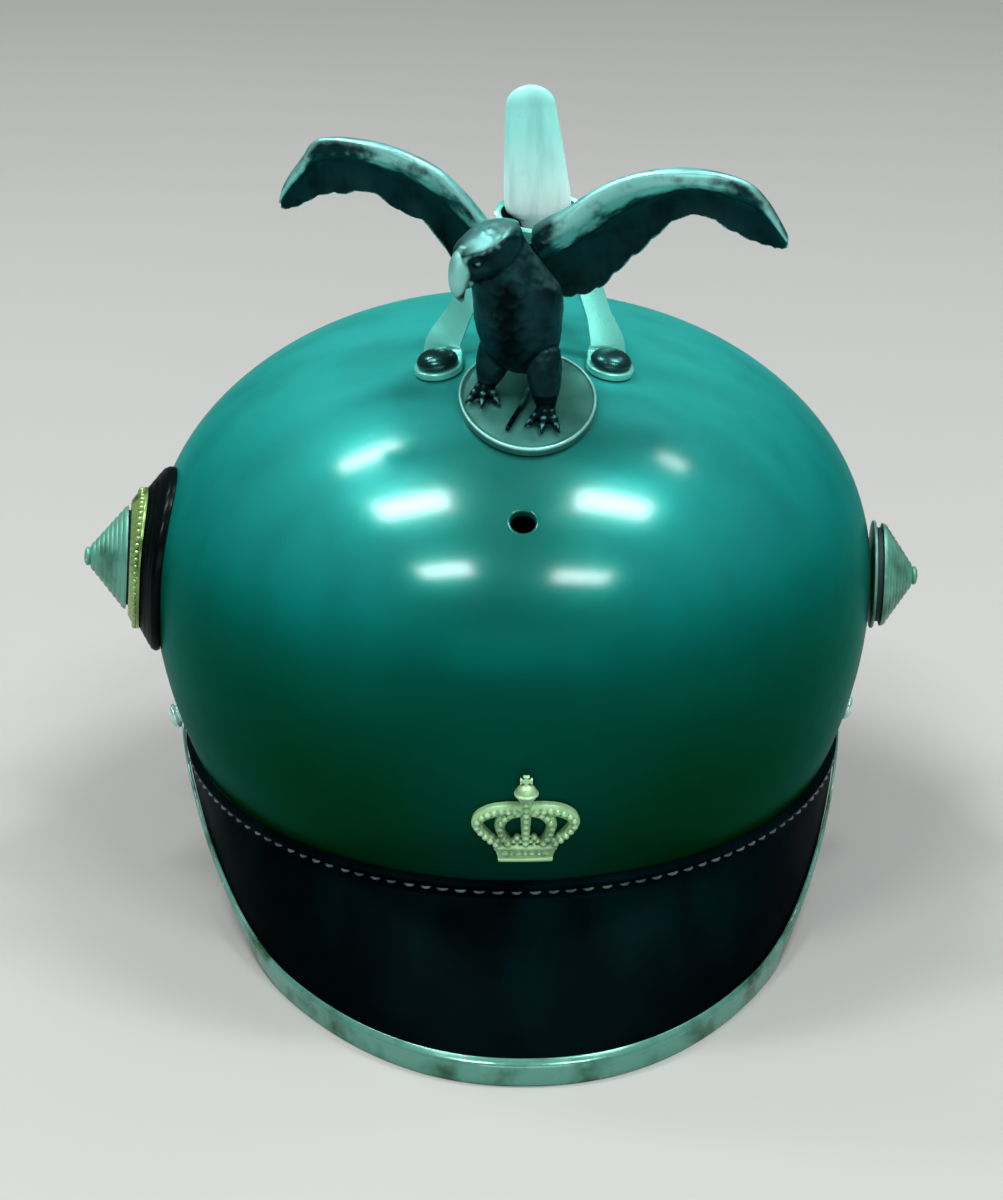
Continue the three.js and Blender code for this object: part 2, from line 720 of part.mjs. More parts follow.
// Point of the cockade at a place on its disc: lifted off its dished face, or on its back.
function cockadeAt(right, up, lift, onBack) {
  const { seat, normal } = rosetteSeat(COCKADE.sign);
  const stand = new THREE.Quaternion().setFromUnitVectors(at(0, 1, 0), normal);
  const level = (x, y) => at(x, 0, y).applyQuaternion(stand).add(seat);
  const onSkull = (p) => {
    const reach = Math.sqrt(Math.max(0, ovalShare(p.z) ** 2 - (p.y / SKULL.halfLength) ** 2));
    return p.clone().setX(COCKADE.sign * SKULL.halfWidth * reach);
  };
  const place = level(right, up);
  if (onBack) {
    const p = onSkull(place);
    return p.addScaledVector(skullNormal(p), GAP);
  }
  const radius = Math.max(Math.hypot(right, up), 1e-6);
  const rim = level((right / radius) * COCKADE.radius, (up / radius) * COCKADE.radius);
  const rimHeight = onSkull(rim).sub(seat).dot(normal) + GAP + COCKADE.edge;
  const share = Math.max(0, (radius - COCKADE.topRadius) / (COCKADE.radius - COCKADE.topRadius));
  return place.addScaledVector(normal, THREE.MathUtils.lerp(GAP + COCKADE.height, rimHeight, share) + lift);
}

// Turned shape laid over the cockade's disc, row by row of its profile.
function overCockade(rows) {
  const outline = rows.map((row) => new THREE.Vector2(row.radius, 0));
  const geometry = new THREE.LatheGeometry(outline, ROUND_SEGMENTS);
  const place = geometry.attributes.position;
  for (let i = 0; i < place.count; i += 1) {
    const row = rows[i % rows.length];
    place.setXYZ(i, ...cockadeAt(place.getX(i), place.getZ(i), row.lift, row.onBack).toArray());
  }
  return solidOf(geometry);
}

// Black dished disc with its back bent to the skull.
function buildCockade() {
  const shares = [0, 0.35, 0.7, 1];
  const rows = shares.map((share) => ({ radius: share * COCKADE.radius, lift: 0, onBack: true }));
  [COCKADE.radius, COCKADE.topRadius, 0].forEach((radius) => rows.push({ radius, lift: 0, onBack: false }));
  return overCockade(rows);
}

// Metal ring lying on the cockade's dished face.
function buildCockadeRing() {
  const { inner, outer, sheet: thick, steps } = COCKADE_RING;
  const radii = Array.from({ length: steps + 1 }, (_, i) => THREE.MathUtils.lerp(inner, outer, i / steps));
  const under = radii.map((radius) => ({ radius, lift: GAP, onBack: false }));
  const over = radii.map((radius) => ({ radius, lift: GAP + thick, onBack: false })).reverse();
  return overCockade([...under, ...over, under[0]]);
}

// Stepped metal cone with a grooved base and a round tip.
function buildRosette(sign) {
  const { seat, normal } = rosetteSeat(sign);
  const { height, groove } = ROSETTE_BASE;
  const profile = [
    { radius: 0, height: 0 },
    { radius: ROSETTE.rimRadius, height: 0 },
    { radius: ROSETTE.rimRadius, height: 0.4 * height },
    { radius: ROSETTE.rimRadius - groove, height: 0.5 * height },
    { radius: ROSETTE.rimRadius - groove, height: 0.7 * height },
    { radius: ROSETTE.coneRadius, height },
  ];
  for (let i = 0; i < ROSETTE.ridges; i += 1) {
    const radius = ROSETTE.coneRadius - ROSETTE.pitch * i;
    const top = height + ROSETTE.rise * (i + 1);
    profile.push({ radius: radius - 0.5, height: top });
    profile.push({ radius: radius - ROSETTE.pitch, height: top });
  }
  profile.push({ radius: ROSETTE_TIP.radius, height: ROSETTE_TIP.neckZ });
  for (let i = 0; i <= ROSETTE_TIP.steps; i += 1) {
    const turn = rad(90 * (i / ROSETTE_TIP.steps));
    profile.push({
      radius: i === ROSETTE_TIP.steps ? 0 : ROSETTE_TIP.radius * Math.cos(turn),
      height: ROSETTE_TIP.ballZ + ROSETTE_TIP.length * Math.sin(turn),
    });
  }
  const lift = sign === COCKADE.sign ? 2 * GAP + COCKADE.height : GAP;
  return turned(profile, seat.clone().addScaledVector(normal, lift), normal, ROUND_SEGMENTS);
}

function buildStud(sign) {
  const { seat, normal } = sideSeat(sign, STUD.forward, STUD.z);
  return turned(STUD_PROFILE, seat.addScaledVector(normal, GAP), normal, 16);
}

function buildScrew(foot) {
  const normal = skullNormal(domeAt(foot.across, foot.forward, 0));
  const base = domeAt(foot.across, foot.forward, 2 * GAP + BRACKET.footSheet + 0.4);
  return turned(SCREW_PROFILE, base, normal, 16);
}

// Point of the helmet at a place in the eagle's own frame.
function eaglePoint(across, forward, up) {
  const ground = domeAt(0, EAGLE.forward, 0).z + GAP + PLATE.sheet;
  const turn = at(across, -forward, up).applyAxisAngle(at(0, 0, 1), rad(-EAGLE.yaw));
  return turn.add(at(TOP_ACROSS, -EAGLE.forward, ground));
}

const eagleWay = (across, forward, up) => eaglePoint(across, forward, up).sub(eaglePoint(0, 0, 0));

function buildEagleBody() {
  return loft(
    EAGLE_BODY.map((row) =>
      ovalRing(
        eaglePoint(row.across, row.forward, row.up),
        eagleWay(row.halfWidth, 0, 0),
        eagleWay(0, row.halfDepth, 0),
        EAGLE.bodySides,
      ),
    ),
  );
}

// Head turned to the viewer's left, with the hooked beak.
function buildEagleHead() {
  const turn = rad(EAGLE_HEAD.turn);
  const bow = rad(EAGLE_HEAD.bow);
  const along = eagleWay(-Math.sin(turn) * Math.cos(bow), Math.cos(turn) * Math.cos(bow), -Math.sin(bow));
  const side = along.clone().cross(at(0, 0, 1)).normalize();
  const over = side.clone().cross(along).normalize();
  const centre = eaglePoint(EAGLE_HEAD.across, EAGLE_HEAD.forward, EAGLE_HEAD.up);
  const skin = new THREE.SphereGeometry(1, 14, 8);
  const frame = new THREE.Matrix4().makeBasis(
    along.clone().multiplyScalar(EAGLE_HEAD.length),
    side.clone().multiplyScalar(EAGLE_HEAD.width),
    over.clone().multiplyScalar(EAGLE_HEAD.height),
  );
  skin.applyMatrix4(frame.setPosition(centre));
  const marks = EAGLE_BEAK.map((row) =>
    centre.clone().addScaledVector(along, row.along).addScaledVector(over, -row.down),
  );
  return solidOf(skin).add(bar(marks, EAGLE_BEAK.map((row) => row.radius), 8));
}

// One wing: a hollowed sheet, thick along the leading edge and thin behind.
function buildEagleWing(side) {
  const tilt = rad(WING.tilt);
  const faces = [1, -1].map((face) =>
    EAGLE_WINGS[side.name].map((row) =>
      Array.from({ length: WING.chordSteps + 1 }, (_, i) => {
        const share = i / WING.chordSteps;
        const down = row.chord * share;
        const hollow = -WING.camber * row.chord * 4 * share * (1 - share);
        const round = Math.sqrt(Math.max(0, 1 - (1.6 * share - 0.45) ** 2));
        const half = (row.thick / 2) * Math.max(WING.edge, round);
        const out = hollow + face * half;
        const forward = -row.back - down * Math.sin(tilt) + out * Math.cos(tilt);
        const up = row.up - down * Math.cos(tilt) - out * Math.sin(tilt);
        return eaglePoint(side.sign * row.across, forward, up);
      }),
    ),
  );
  return sheet(faces[0], faces[1]);
}

// One leg from the hip to the plate, with its toes laid along the plate.
function buildEagleLeg(leg) {
  const lift = 2 * GAP + PLATE.sheet;
  const foot = domeAt(leg.footAcross, leg.footForward, lift + LEG_RADII.at(-1).radius + 0.4);
  const hip = eaglePoint(leg.hipAcross, leg.hipForward, leg.hipUp);
  const marks = LEG_RADII.map((row) => hip.clone().lerp(foot, row.share));
  const pieces = [bar(marks, LEG_RADII.map((row) => row.radius), 10)];
  TOES.angles.forEach((angle) => {
    const heading = rad(angle + EAGLE.yaw);
    const length = Math.abs(angle) > 90 ? TOES.backLength : TOES.length;
    const shares = [0, 0.4, 0.8, 1];
    const path = shares.map((share) => {
      const across = leg.footAcross - length * share * Math.sin(heading);
      const forward = leg.footForward + length * share * Math.cos(heading);
      const radius = THREE.MathUtils.lerp(TOES.radius, TOES.tipRadius, share);
      const arch = TOES.arch * Math.sin(Math.PI * share * 0.9) * (1 - share);
      return domeAt(across, forward, lift + radius + arch);
    });
    const radii = shares.map((share) => THREE.MathUtils.lerp(TOES.radius, TOES.tipRadius, share));
    pieces.push(bar(path, radii, 6));
  });
  return join(pieces);
}

function buildEagleTail() {
  return loft(
    EAGLE_TAIL.map((row) =>
      ovalRing(
        eaglePoint(0, -row.back, row.up),
        eagleWay(row.halfWidth, 0, 0),
        eagleWay(0, 0.4 * row.halfDepth, row.halfDepth),
        10,
      ),
    ),
  );
}

function buildEagle() {
  const wings = SIDES.map(buildEagleWing);
  const legs = EAGLE_LEGS.map(buildEagleLeg);
  return join([buildEagleBody(), buildEagleHead(), ...wings, ...legs, buildEagleTail()]);
}

const helmet = new THREE.Group();
helmet.name = "parade_helmet";
helmet.position.x = (COCKADE.height + GAP) / 2;
helmet.position.y = (FRONT_OUT - REAR_PEAK.reach) / 2;

function add(name, solid, colour) {
  const raw = solid.getMesh();
  const geometry = new THREE.BufferGeometry();
  geometry.setAttribute("position", new THREE.BufferAttribute(raw.vertProperties, 3));
  geometry.setIndex(new THREE.BufferAttribute(raw.triVerts, 1));
  const mesh = new THREE.Mesh(geometry, new THREE.MeshStandardMaterial({ color: colour }));
  mesh.name = name;
  helmet.add(mesh);
}

add("skull", buildSkull(), COLOURS.leather);
add("front_peak", buildPeak(FRONT_PEAK), COLOURS.patent);
add("rear_peak", buildPeak(REAR_PEAK), COLOURS.patent);
add("peak_trim", buildTrim(), COLOURS.nickel);
add("crown_badge", buildCrown(), COLOURS.brass);
add("eagle_plate", buildPlate(), COLOURS.bronze);
add("eagle", buildEagle(), COLOURS.bronze);
add("plume_bracket", buildBracket(), COLOURS.nickel);
add("plume_holder", buildHolder(), COLOURS.nickel);
FEET.forEach((foot) => add(`bracket_screw_${foot.name}`, buildScrew(foot), COLOURS.bronze));
add("cockade", buildCockade(), COLOURS.black);
add("cockade_ring", buildCockadeRing(), COLOURS.nickel);
SIDES.forEach((side) => {
  add(`rosette_${side.name}`, buildRosette(side.sign), COLOURS.brass);
  add(`side_stud_${side.name}`, buildStud(side.sign), COLOURS.nickel);
});

export default helmet;
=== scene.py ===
"""Dressed visual model of a leather parade helmet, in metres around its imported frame.

Shapes are worked out in millimetres in the helmet's own frame: its upright axis is the middle of
the skull, its front is towards -Y and the floor is at z = 0. A piece is set into the row frame,
in metres, when its mesh is made. "Forward" is the distance in front of the skull's axis.
"""
import logging
import math
from dataclasses import dataclass, field
from enum import Enum
from typing import Callable, Sequence

import bmesh
import bpy
import numpy as np
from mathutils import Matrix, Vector


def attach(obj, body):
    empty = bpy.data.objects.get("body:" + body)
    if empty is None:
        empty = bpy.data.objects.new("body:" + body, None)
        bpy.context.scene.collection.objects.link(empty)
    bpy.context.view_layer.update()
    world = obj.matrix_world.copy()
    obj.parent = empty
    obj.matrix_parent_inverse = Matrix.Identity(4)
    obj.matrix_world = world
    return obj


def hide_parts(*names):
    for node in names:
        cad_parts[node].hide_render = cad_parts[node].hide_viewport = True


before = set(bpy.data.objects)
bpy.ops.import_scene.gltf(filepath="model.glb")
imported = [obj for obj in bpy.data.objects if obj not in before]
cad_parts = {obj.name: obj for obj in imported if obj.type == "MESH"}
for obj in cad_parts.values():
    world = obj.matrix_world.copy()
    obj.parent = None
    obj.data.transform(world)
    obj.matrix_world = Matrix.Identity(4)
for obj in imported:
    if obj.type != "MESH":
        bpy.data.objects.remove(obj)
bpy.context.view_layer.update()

LOG = logging.getLogger("parade_helmet")
Array = np.ndarray
Real = Array | float
Pair = tuple[float, float]
Spot = tuple[float, float, float]
Row = tuple[float, ...]
Rows = tuple[Row, ...]
Colour = tuple[float, float, float, float]
Bands = tuple[tuple[float, Colour], ...]
Piece = bpy.types.Object
Socket = bpy.types.NodeSocket
Tree = bpy.types.NodeTree
Inputs = dict[str | int, object]

MM = 0.001  # metres in a millimetre
GAP = 0.3  # air between neighbouring pieces
SEAT = np.array([2.65, 7.75, 0.0])  # the helmet's own frame in the row frame
BODY = "root"
UP = np.array([0.0, 0.0, 1.0])
LEANS = np.array([[0.13, 0.21, 0.97], [0.97, 0.13, 0.21]])  # helpers that no axis here lies along
WELD = 2e-7  # points closer than this, in metres, become one
# relief attribute; on the eagle it also carries painted light and shade
RELIEF = "relief"
LEVEL_RELIEF = 0.5


class Slot(Enum):
    """Material slots of the record."""

    SKULL = "skull_leather"
    PATENT = "patent_leather"
    BLACK = "black_leather"
    NICKEL = "nickel_silver"
    GILT = "gilt_metal"
    BRONZE = "dark_bronze"


class Side(Enum):
    """Sides of the helmet, as the sign of the across direction."""

    LEFT = -1
    RIGHT = 1


def smooth_step(t: Real) -> Array:
    """Eased share from 0 to 1."""
    t = np.clip(t, 0.0, 1.0)
    return t * t * (3.0 - 2.0 * t)


def bell(x: Real, middle: float, width: float) -> Real:
    """Smooth hump of height one around a place."""
    return np.exp(-(((x - middle) / width) ** 2))


def arch(x: Real) -> Array:
    """Height of a half circle of radius one at places along its span."""
    return np.sqrt(np.clip(1 - x**2, 0, 1))


def unit(v: Array) -> Array:
    """Vectors of length one along the last axis."""
    return v / np.maximum(np.linalg.norm(v, axis=-1, keepdims=True), 1e-12)


def turns(count: int) -> Array:
    """Angles evenly spread over a full turn."""
    return np.arange(count) * (math.tau / count)


def wheel(turn: Array, side: Array, depth: Array) -> Array:
    """Directions at angles round a circle, from one direction towards another."""
    return np.cos(turn)[..., None] * side + np.sin(turn)[..., None] * depth


def globe(rows: int, sides: int) -> Array:
    """Points of a ball of radius one by row and side, from the lowest."""
    lift, turn = np.linspace(-math.pi / 2, math.pi / 2, rows)[:, None], turns(sides)
    return np.stack([np.cos(lift) * np.cos(turn), np.cos(lift) * np.sin(turn), np.sin(lift) + 0 * turn], -1)


def run_along(path: Array) -> Array:
    """Length along a path at each of its points."""
    return np.append(0, np.cumsum(np.linalg.norm(np.diff(path, axis=0), axis=1)))


def closed(index: Array) -> Array:
    """Point numbers with the first column again at the end."""
    return np.hstack([index, index[:, :1]])


def through(marks: Rows | Array, count: int) -> Array:
    """Samples a smooth curve through marks.

    Args:
        marks: Rows that the curve passes through.
        count: Number of samples.

    Returns:
        The samples, evenly spread over the marks.
    """
    rows = np.asarray(marks, float)
    padded = np.vstack([2 * rows[0] - rows[1], rows, 2 * rows[-1] - rows[-2]])
    spot = np.linspace(0, len(rows) - 1, count)
    i = np.minimum(spot.astype(int), len(rows) - 2)
    t = (spot - i)[:, None]
    a, b, c, d = padded[i], padded[i + 1], padded[i + 2], padded[i + 3]
    cubic = (3 * b - a - 3 * c + d) * t**3
    return 0.5 * (2 * b + (c - a) * t + (2 * a - 5 * b + 4 * c - d) * t**2 + cubic)


def rounded(corners: Rows | Array, radii: Sequence[float], steps: int = 4, joined: bool = True) -> Array:
    """Turns the corners of a polyline into short arcs.

    Args:
        corners: Points of the polyline.
        radii: How far each corner is cut back; 0 keeps it.
        steps: Segments of each arc.
        joined: Whether the last point joins the first.

    Returns:
        The points of the rounded polyline.
    """
    corners = np.asarray(corners, float)
    longest = 0.48  # share of a side that a corner may take
    out = []
    count = len(corners)
    for i, (here, radius) in enumerate(zip(corners, radii)):
        if radius <= 0 or (not joined and i in (0, count - 1)):
            out.append(here)
            continue
        before = corners[i - 1] - here
        after = corners[(i + 1) % count] - here
        start = here + unit(before) * min(radius, longest * np.linalg.norm(before))
        end = here + unit(after) * min(radius, longest * np.linalg.norm(after))
        for t in np.linspace(0, 1, steps + 1):
            out.append((1 - t) ** 2 * start + 2 * t * (1 - t) * here + t**2 * end)
    return np.array(out)


def square_to(axis: Array) -> tuple[Array, Array]:
    """Finds two directions square to an axis and to each other.

    Args:
        axis: Direction of length one.

    Returns:
        The two directions.
    """
    steep = abs(axis @ unit(LEANS[0])) > 0.9
    side = unit(np.cross(LEANS[int(steep)], axis))
    return side, np.cross(axis, side)


def uneven(points: Array, span: float, seed: int) -> Array:
    """Soft waves over space, between about -1 and 1.

    Args:
        points: Places in millimetres.
        span: Length of the waves in millimetres.
        seed: Choice of waves.

    Returns:
        One value for each place.
    """
    rng = np.random.default_rng(seed)
    total = np.zeros(points.shape[:-1])
    waves, gain = 7, 1.6
    for _ in range(waves):
        way = unit(rng.normal(size=3)) * rng.uniform(0.7, 1.5)
        total += np.sin(points @ way * (math.tau / span) + rng.uniform(0, math.tau))
    return total / waves * gain


def feather_scales(along: Array, around: Array) -> Array:
    """Height of overlapping rounded feathers.

    Args:
        along: Place towards the feathers' tips, counted in rows.
        around: Place across the rows, counted in feathers.

    Returns:
        Height from 0 to 1, falling off at each tip.
    """
    row = np.floor(along)
    height = np.zeros(np.broadcast(along, around).shape)
    for step in (0, 1):
        root = row - step
        shift = around + 0.5 * np.mod(root, 2)
        off = 2 * (shift - np.floor(shift) - 0.5)
        reach = along - root
        edge = 0.72 + 0.72 * arch(off)
        lift = (0.3 + 0.7 * reach / edge) * (1 - 0.3 * off**2)
        height = np.maximum(height, np.where(reach < edge, lift, 0))
    return height


@dataclass(frozen=True)
class SkullForm:
    """The oval skull's outer face: widest at bulge_z, domed above it and tucked in below."""

    half_width: float = 100.0
    half_length: float = 119.0
    bulge_z: float = 83.0
    crown_rise: float = 70.0
    dome_power: float = 2.13
    tuck: float = 0.104
    tuck_span: float = 49.0
    rim_z: float = 30.0
    wall: float = 2.4

    def share(self, z: Real) -> Array:
        """Finds how much of the full oval there is at a height.

        Args:
            z: Height above the floor.

        Returns:
            The share, 1 at the bulge.
        """
        z = np.asarray(z, float)
        low = 1 - self.tuck * ((self.bulge_z - z) / self.tuck_span) ** 2
        rise = np.clip((z - self.bulge_z) / self.crown_rise, 0, 1)
        high = np.clip(1 - rise**self.dome_power, 0, 1) ** (1 / self.dome_power)
        return np.where(z < self.bulge_z, low, high)

    def normal(self, p: Array) -> Array:
        """Finds the outward direction of the face.

        Args:
            p: Points on the face.

        Returns:
            A direction of length one for each point.
        """
        z = p[..., 2]
        low_share = 1 - self.tuck * ((self.bulge_z - z) / self.tuck_span) ** 2
        low = low_share * 2 * self.tuck * (self.bulge_z - z) / self.tuck_span**2
        rise = np.clip((z - self.bulge_z) / self.crown_rise, 0, 1)
        rest = np.clip(1 - rise**self.dome_power, 1e-9, 1) ** (2 / self.dome_power - 1)
        high = -rest * rise ** (self.dome_power - 1) / self.crown_rise
        slope = np.where(z < self.bulge_z, low, high)
        across = p[..., 0] / self.half_width**2
        return unit(np.stack([across, p[..., 1] / self.half_length**2, -slope], -1))

    def point(self, angle: Real, z: Real, offset: Real = 0.0) -> Array:
        """Points at angles from the front and heights.

        Args:
            angle: Angle from the front, towards the viewer's right.
            z: Height above the floor.
            offset: Distance outside the face.

        Returns:
            The points.
        """
        angle, z, offset = np.broadcast_arrays(angle, z, np.asarray(offset, float))
        share = self.share(z)
        across = share * self.half_width * np.sin(angle)
        p = np.stack([across, -share * self.half_length * np.cos(angle), z], -1)
        return p + self.normal(p) * offset[..., None]

    def dome(self, across: Real, forward: Real, offset: Real = 0.0) -> Array:
        """Points on the dome at places in plan.

        Args:
            across: Distance to the viewer's right.
            forward: Distance in front of the axis.
            offset: Distance outside the face.

        Returns:
            The points.
        """
        across, forward, offset = np.broadcast_arrays(
            np.asarray(across, float), np.asarray(forward, float), np.asarray(offset, float)
        )
        share = np.hypot(across / self.half_width, forward / self.half_length)
        rise = np.clip(1 - share**self.dome_power, 0, 1) ** (1 / self.dome_power)
        p = np.stack([across, -forward, self.bulge_z + self.crown_rise * rise], -1)
        return p + self.normal(p) * offset[..., None]

    def seat(self, side: Side, forward: float, z: float) -> tuple[Array, Array]:
        """Finds where an ornament sits on a side.

        Args:
            side: Side of the helmet.
            forward: Distance in front of the axis.
            z: Height above the floor.

        Returns:
            The place, and the outward direction there.
        """
        angle = side.value * math.acos(forward / (float(self.share(z)) * self.half_length))
        place = self.point(angle, z)
        return place, self.normal(place)


FORM = SkullForm()


class Draft:
    """Points and faces of a piece while it is shaped, in millimetres in the helmet's frame."""

    def __init__(self) -> None:
        """Starts with no points, no faces and no finish numbers of faces."""
        self._points: list[Array] = []
        self.faces: list[tuple[int, ...]] = []
        self.marks: list[int] = []

    def points(self) -> Array:
        """All points so far."""
        return np.vstack(self._points)

    def bend(self, change: Callable[[Array], Array]) -> None:
        """Moves every point so far by a function of all points."""
        self._points = [change(self.points())]

    def _add(self, points: Array) -> int:
        """Adds points and gives the number of the first."""
        self._points.append(points.reshape(-1, 3))
        return sum(map(len, self._points[:-1]))

    def lay(self, rows: Array) -> Array:
        """Adds rows of points with no faces and gives the number of each."""
        rows = np.asarray(rows, float)
        return self._add(rows) + np.arange(rows.shape[0] * rows.shape[1]).reshape(rows.shape[:2])

    def grid(self, rows: Array, mark: int = 0) -> Array:
        """Adds a skin of quads over rows of points, each row's ends joined.

        Args:
            rows: Points by row and column.
            mark: Finish number of the faces.

        Returns:
            The number of each point, by row and column.
        """
        index = self.lay(rows)
        self.stitch(closed(index), mark)
        return index

    def stitch(self, index: Array, mark: int = 0) -> None:
        """Adds quads between the neighbours of a grid.

        Args:
            index: Point numbers by row and column.
            mark: Finish number of the faces.
        """
        corners = [index[:-1, :-1], index[:-1, 1:], index[1:, 1:], index[1:, :-1]]
        quads = np.stack(corners, -1).reshape(-1, 4).tolist()
        self.faces.extend(map(tuple, quads))
        self.marks.extend([mark] * len(quads))

    def loft(self, rings: Array, mark: int = 0) -> None:
        """Adds a closed skin through rings of points, with a cap at each end.

        Args:
            rings: Points by ring.
            mark: Finish number of the faces.
        """
        rings = np.asarray(rings, float)
        index = self.grid(rings, mark)
        for row, ring in ((index[0], rings[0]), (index[-1], rings[-1])):
            hub = self._add(ring.mean(0))
            ends = np.append(row, row[0]).tolist()
            self.faces.extend((a, b, hub) for a, b in zip(ends, ends[1:]))
            self.marks.extend([mark] * len(row))

    def turned(self, profile: Array, foot: Array, axis: Array, segments: int, mark: int = 0) -> None:
        """Adds a turned solid.

        Args:
            profile: Rows of radius and height, from the middle of the foot to the top.
            foot: Where the solid stands.
            axis: Direction that it stands along.
            segments: Number of sides.
            mark: Finish number of the faces.
        """
        ring = wheel(turns(segments), *square_to(axis))
        radius, height = profile.T[:, :, None, None]
        self.grid(foot + height * axis + radius * ring, mark)

    def ball(self, centre: Array, axes: Array, sides: int = 14, rows: int = 9) -> None:
        """Adds an oval ball with three half axes as the rows of axes."""
        self.grid(centre + globe(rows, sides) @ axes)

    def bar(
        self,
        path: Array,
        radii: Array,
        sides: int,
        flat: float = 1.0,
        over: Array | None = None,
        mark: int = 0,
    ) -> None:
        """Adds a tapered bar along a path.

        Args:
            path: Points along the middle.
            radii: Radius at each point.
            sides: Number of sides.
            flat: Width over height of the section.
            over: Direction that the section's height leans to, where it matters.
            mark: Finish number of the faces.
        """
        along = unit(np.gradient(path, axis=0))
        side = np.cross(LEANS[0] if over is None else over, along)
        weak = np.linalg.norm(side, axis=1)[:, None] < 0.3
        side = unit(np.where(weak, np.cross(LEANS[1], along), side))
        depth = np.cross(along, side)
        turn = turns(sides)
        ring = flat * np.cos(turn)[:, None] * side[:, None] + np.sin(turn)[:, None] * depth[:, None]
        self.loft(path[:, None] + np.asarray(radii)[:, None, None] * ring, mark)


def make_mesh(name: str, draft: Draft) -> Piece:
    """Makes an object of a draft, in metres in the row frame, with its faces turned outwards.

    Args:
        name: Name of the piece.
        draft: Its shape.

    Returns:
        The object.
    """
    mesh = bpy.data.meshes.new(name)
    mesh.from_pydata(((draft.points() + SEAT) * MM).tolist(), [], draft.faces)
    mesh.polygons.foreach_set("material_index", draft.marks)
    welded = bmesh.new()
    welded.from_mesh(mesh)
    bmesh.ops.remove_doubles(welded, verts=welded.verts, dist=WELD)
    bmesh.ops.recalc_face_normals(welded, faces=welded.faces)
    welded.to_mesh(mesh)
    welded.free()
    return stand(name, mesh)


def stand(name: str, data: bpy.types.ID) -> Piece:
    """Puts an object of a mesh, light or camera into the scene.

    Args:
        name: Name of the object.
        data: What it shows.

    Returns:
        The object.
    """
    made = bpy.data.objects.new(name, data)
    bpy.context.scene.collection.objects.link(made)
    return made


def take_modified(piece: Piece) -> None:
    """Makes the result of a piece's modifiers its own mesh.

    Args:
        piece: The piece.
    """
    graph = bpy.context.evaluated_depsgraph_get()
    mesh = bpy.data.meshes.new_from_object(piece.evaluated_get(graph))
    piece.modifiers.clear()
    old = piece.data
    piece.data = mesh
    mesh.name = piece.name
    bpy.data.meshes.remove(old)


def neighbour_mean(points: Array, edges: Array) -> Array:
    """Finds the middle of each point's neighbours.

    Args:
        points: The points.
        edges: Pairs of point numbers.

    Returns:
        One place for each point.
    """
    count = len(points)
    ends = np.concatenate([edges[:, 0], edges[:, 1]])
    others = np.concatenate([edges[:, 1], edges[:, 0]])
    number = np.maximum(np.bincount(ends, minlength=count), 1)
    sums = [np.bincount(ends, weights=points[others, k], minlength=count) for k in range(3)]
    return np.stack(sums, -1) / number[:, None]


def mesh_arrays(mesh: bpy.types.Mesh) -> tuple[Array, Array, Array]:
    """Reads a mesh into arrays.

    Args:
        mesh: The mesh.

    Returns:
        Its points, edges and point normals.
    """
    points = np.empty(len(mesh.vertices) * 3)
    mesh.vertices.foreach_get("co", points)
    edges = np.empty(len(mesh.edges) * 2, int)
    mesh.edges.foreach_get("vertices", edges)
    normals = np.empty(len(mesh.vertices) * 3)
    mesh.vertex_normals.foreach_get("vector", normals)
    return points.reshape(-1, 3), edges.reshape(-1, 2), normals.reshape(-1, 3)


def store_relief(mesh: bpy.types.Mesh, values: Array) -> None:
    """Stores the relief of each point, from 0 hollow to 1 raised."""
    layer = mesh.attributes.new(RELIEF, "FLOAT", "POINT")
    layer.data.foreach_set("value", values.astype(np.float32))


def mark_relief(piece: Piece, rounds: int, reach: float) -> None:
    """Stores how far each point stands out of its surroundings.

    Args:
        piece: Piece with an even, fine mesh.
        rounds: How wide the surroundings are, in steps between neighbours.
        reach: Standing that counts as fully raised, in millimetres.
    """
    points, edges, normals = mesh_arrays(piece.data)
    settled = points
    for _ in range(rounds):
        settled = 0.5 * settled + 0.5 * neighbour_mean(settled, edges)
    standing = ((points - settled) * normals).sum(1) / (reach * MM)
    store_relief(piece.data, np.clip(LEVEL_RELIEF + 0.5 * standing, 0, 1))


def cast(piece: Piece, grain: float, soften: int) -> None:
    """Fuses a piece's overlapping solids into one casting with softened edges.

    Args:
        piece: Piece of closed solids.
        grain: Size of the casting's mesh, in millimetres.
        soften: Rounds of softening, each a step in and a step out.
    """
    remesh = piece.modifiers.new("cast", "REMESH")
    remesh.mode = "VOXEL"
    remesh.voxel_size = grain * MM
    take_modified(piece)
    points, edges, _ = mesh_arrays(piece.data)
    for step in (0.55, -0.5) * soften:
        points = points + step * (neighbour_mean(points, edges) - points)
    piece.data.vertices.foreach_set("co", points.ravel())
    piece.data.update()


def fuse(parts: Sequence[Piece]) -> Piece:
    """Joins overlapping closed solids into one skin.

    Args:
        parts: The solids; the first one is kept.

    Returns:
        The joined piece.
    """
    whole = parts[0]
    for other in parts[1:]:
        union = whole.modifiers.new("union", "BOOLEAN")
        union.operation = "UNION"
        union.solver = "EXACT"
        union.object = other
        bpy.context.view_layer.update()
        take_modified(whole)
        spare = other.data
        bpy.data.objects.remove(other)
        bpy.data.meshes.remove(spare)
    return whole


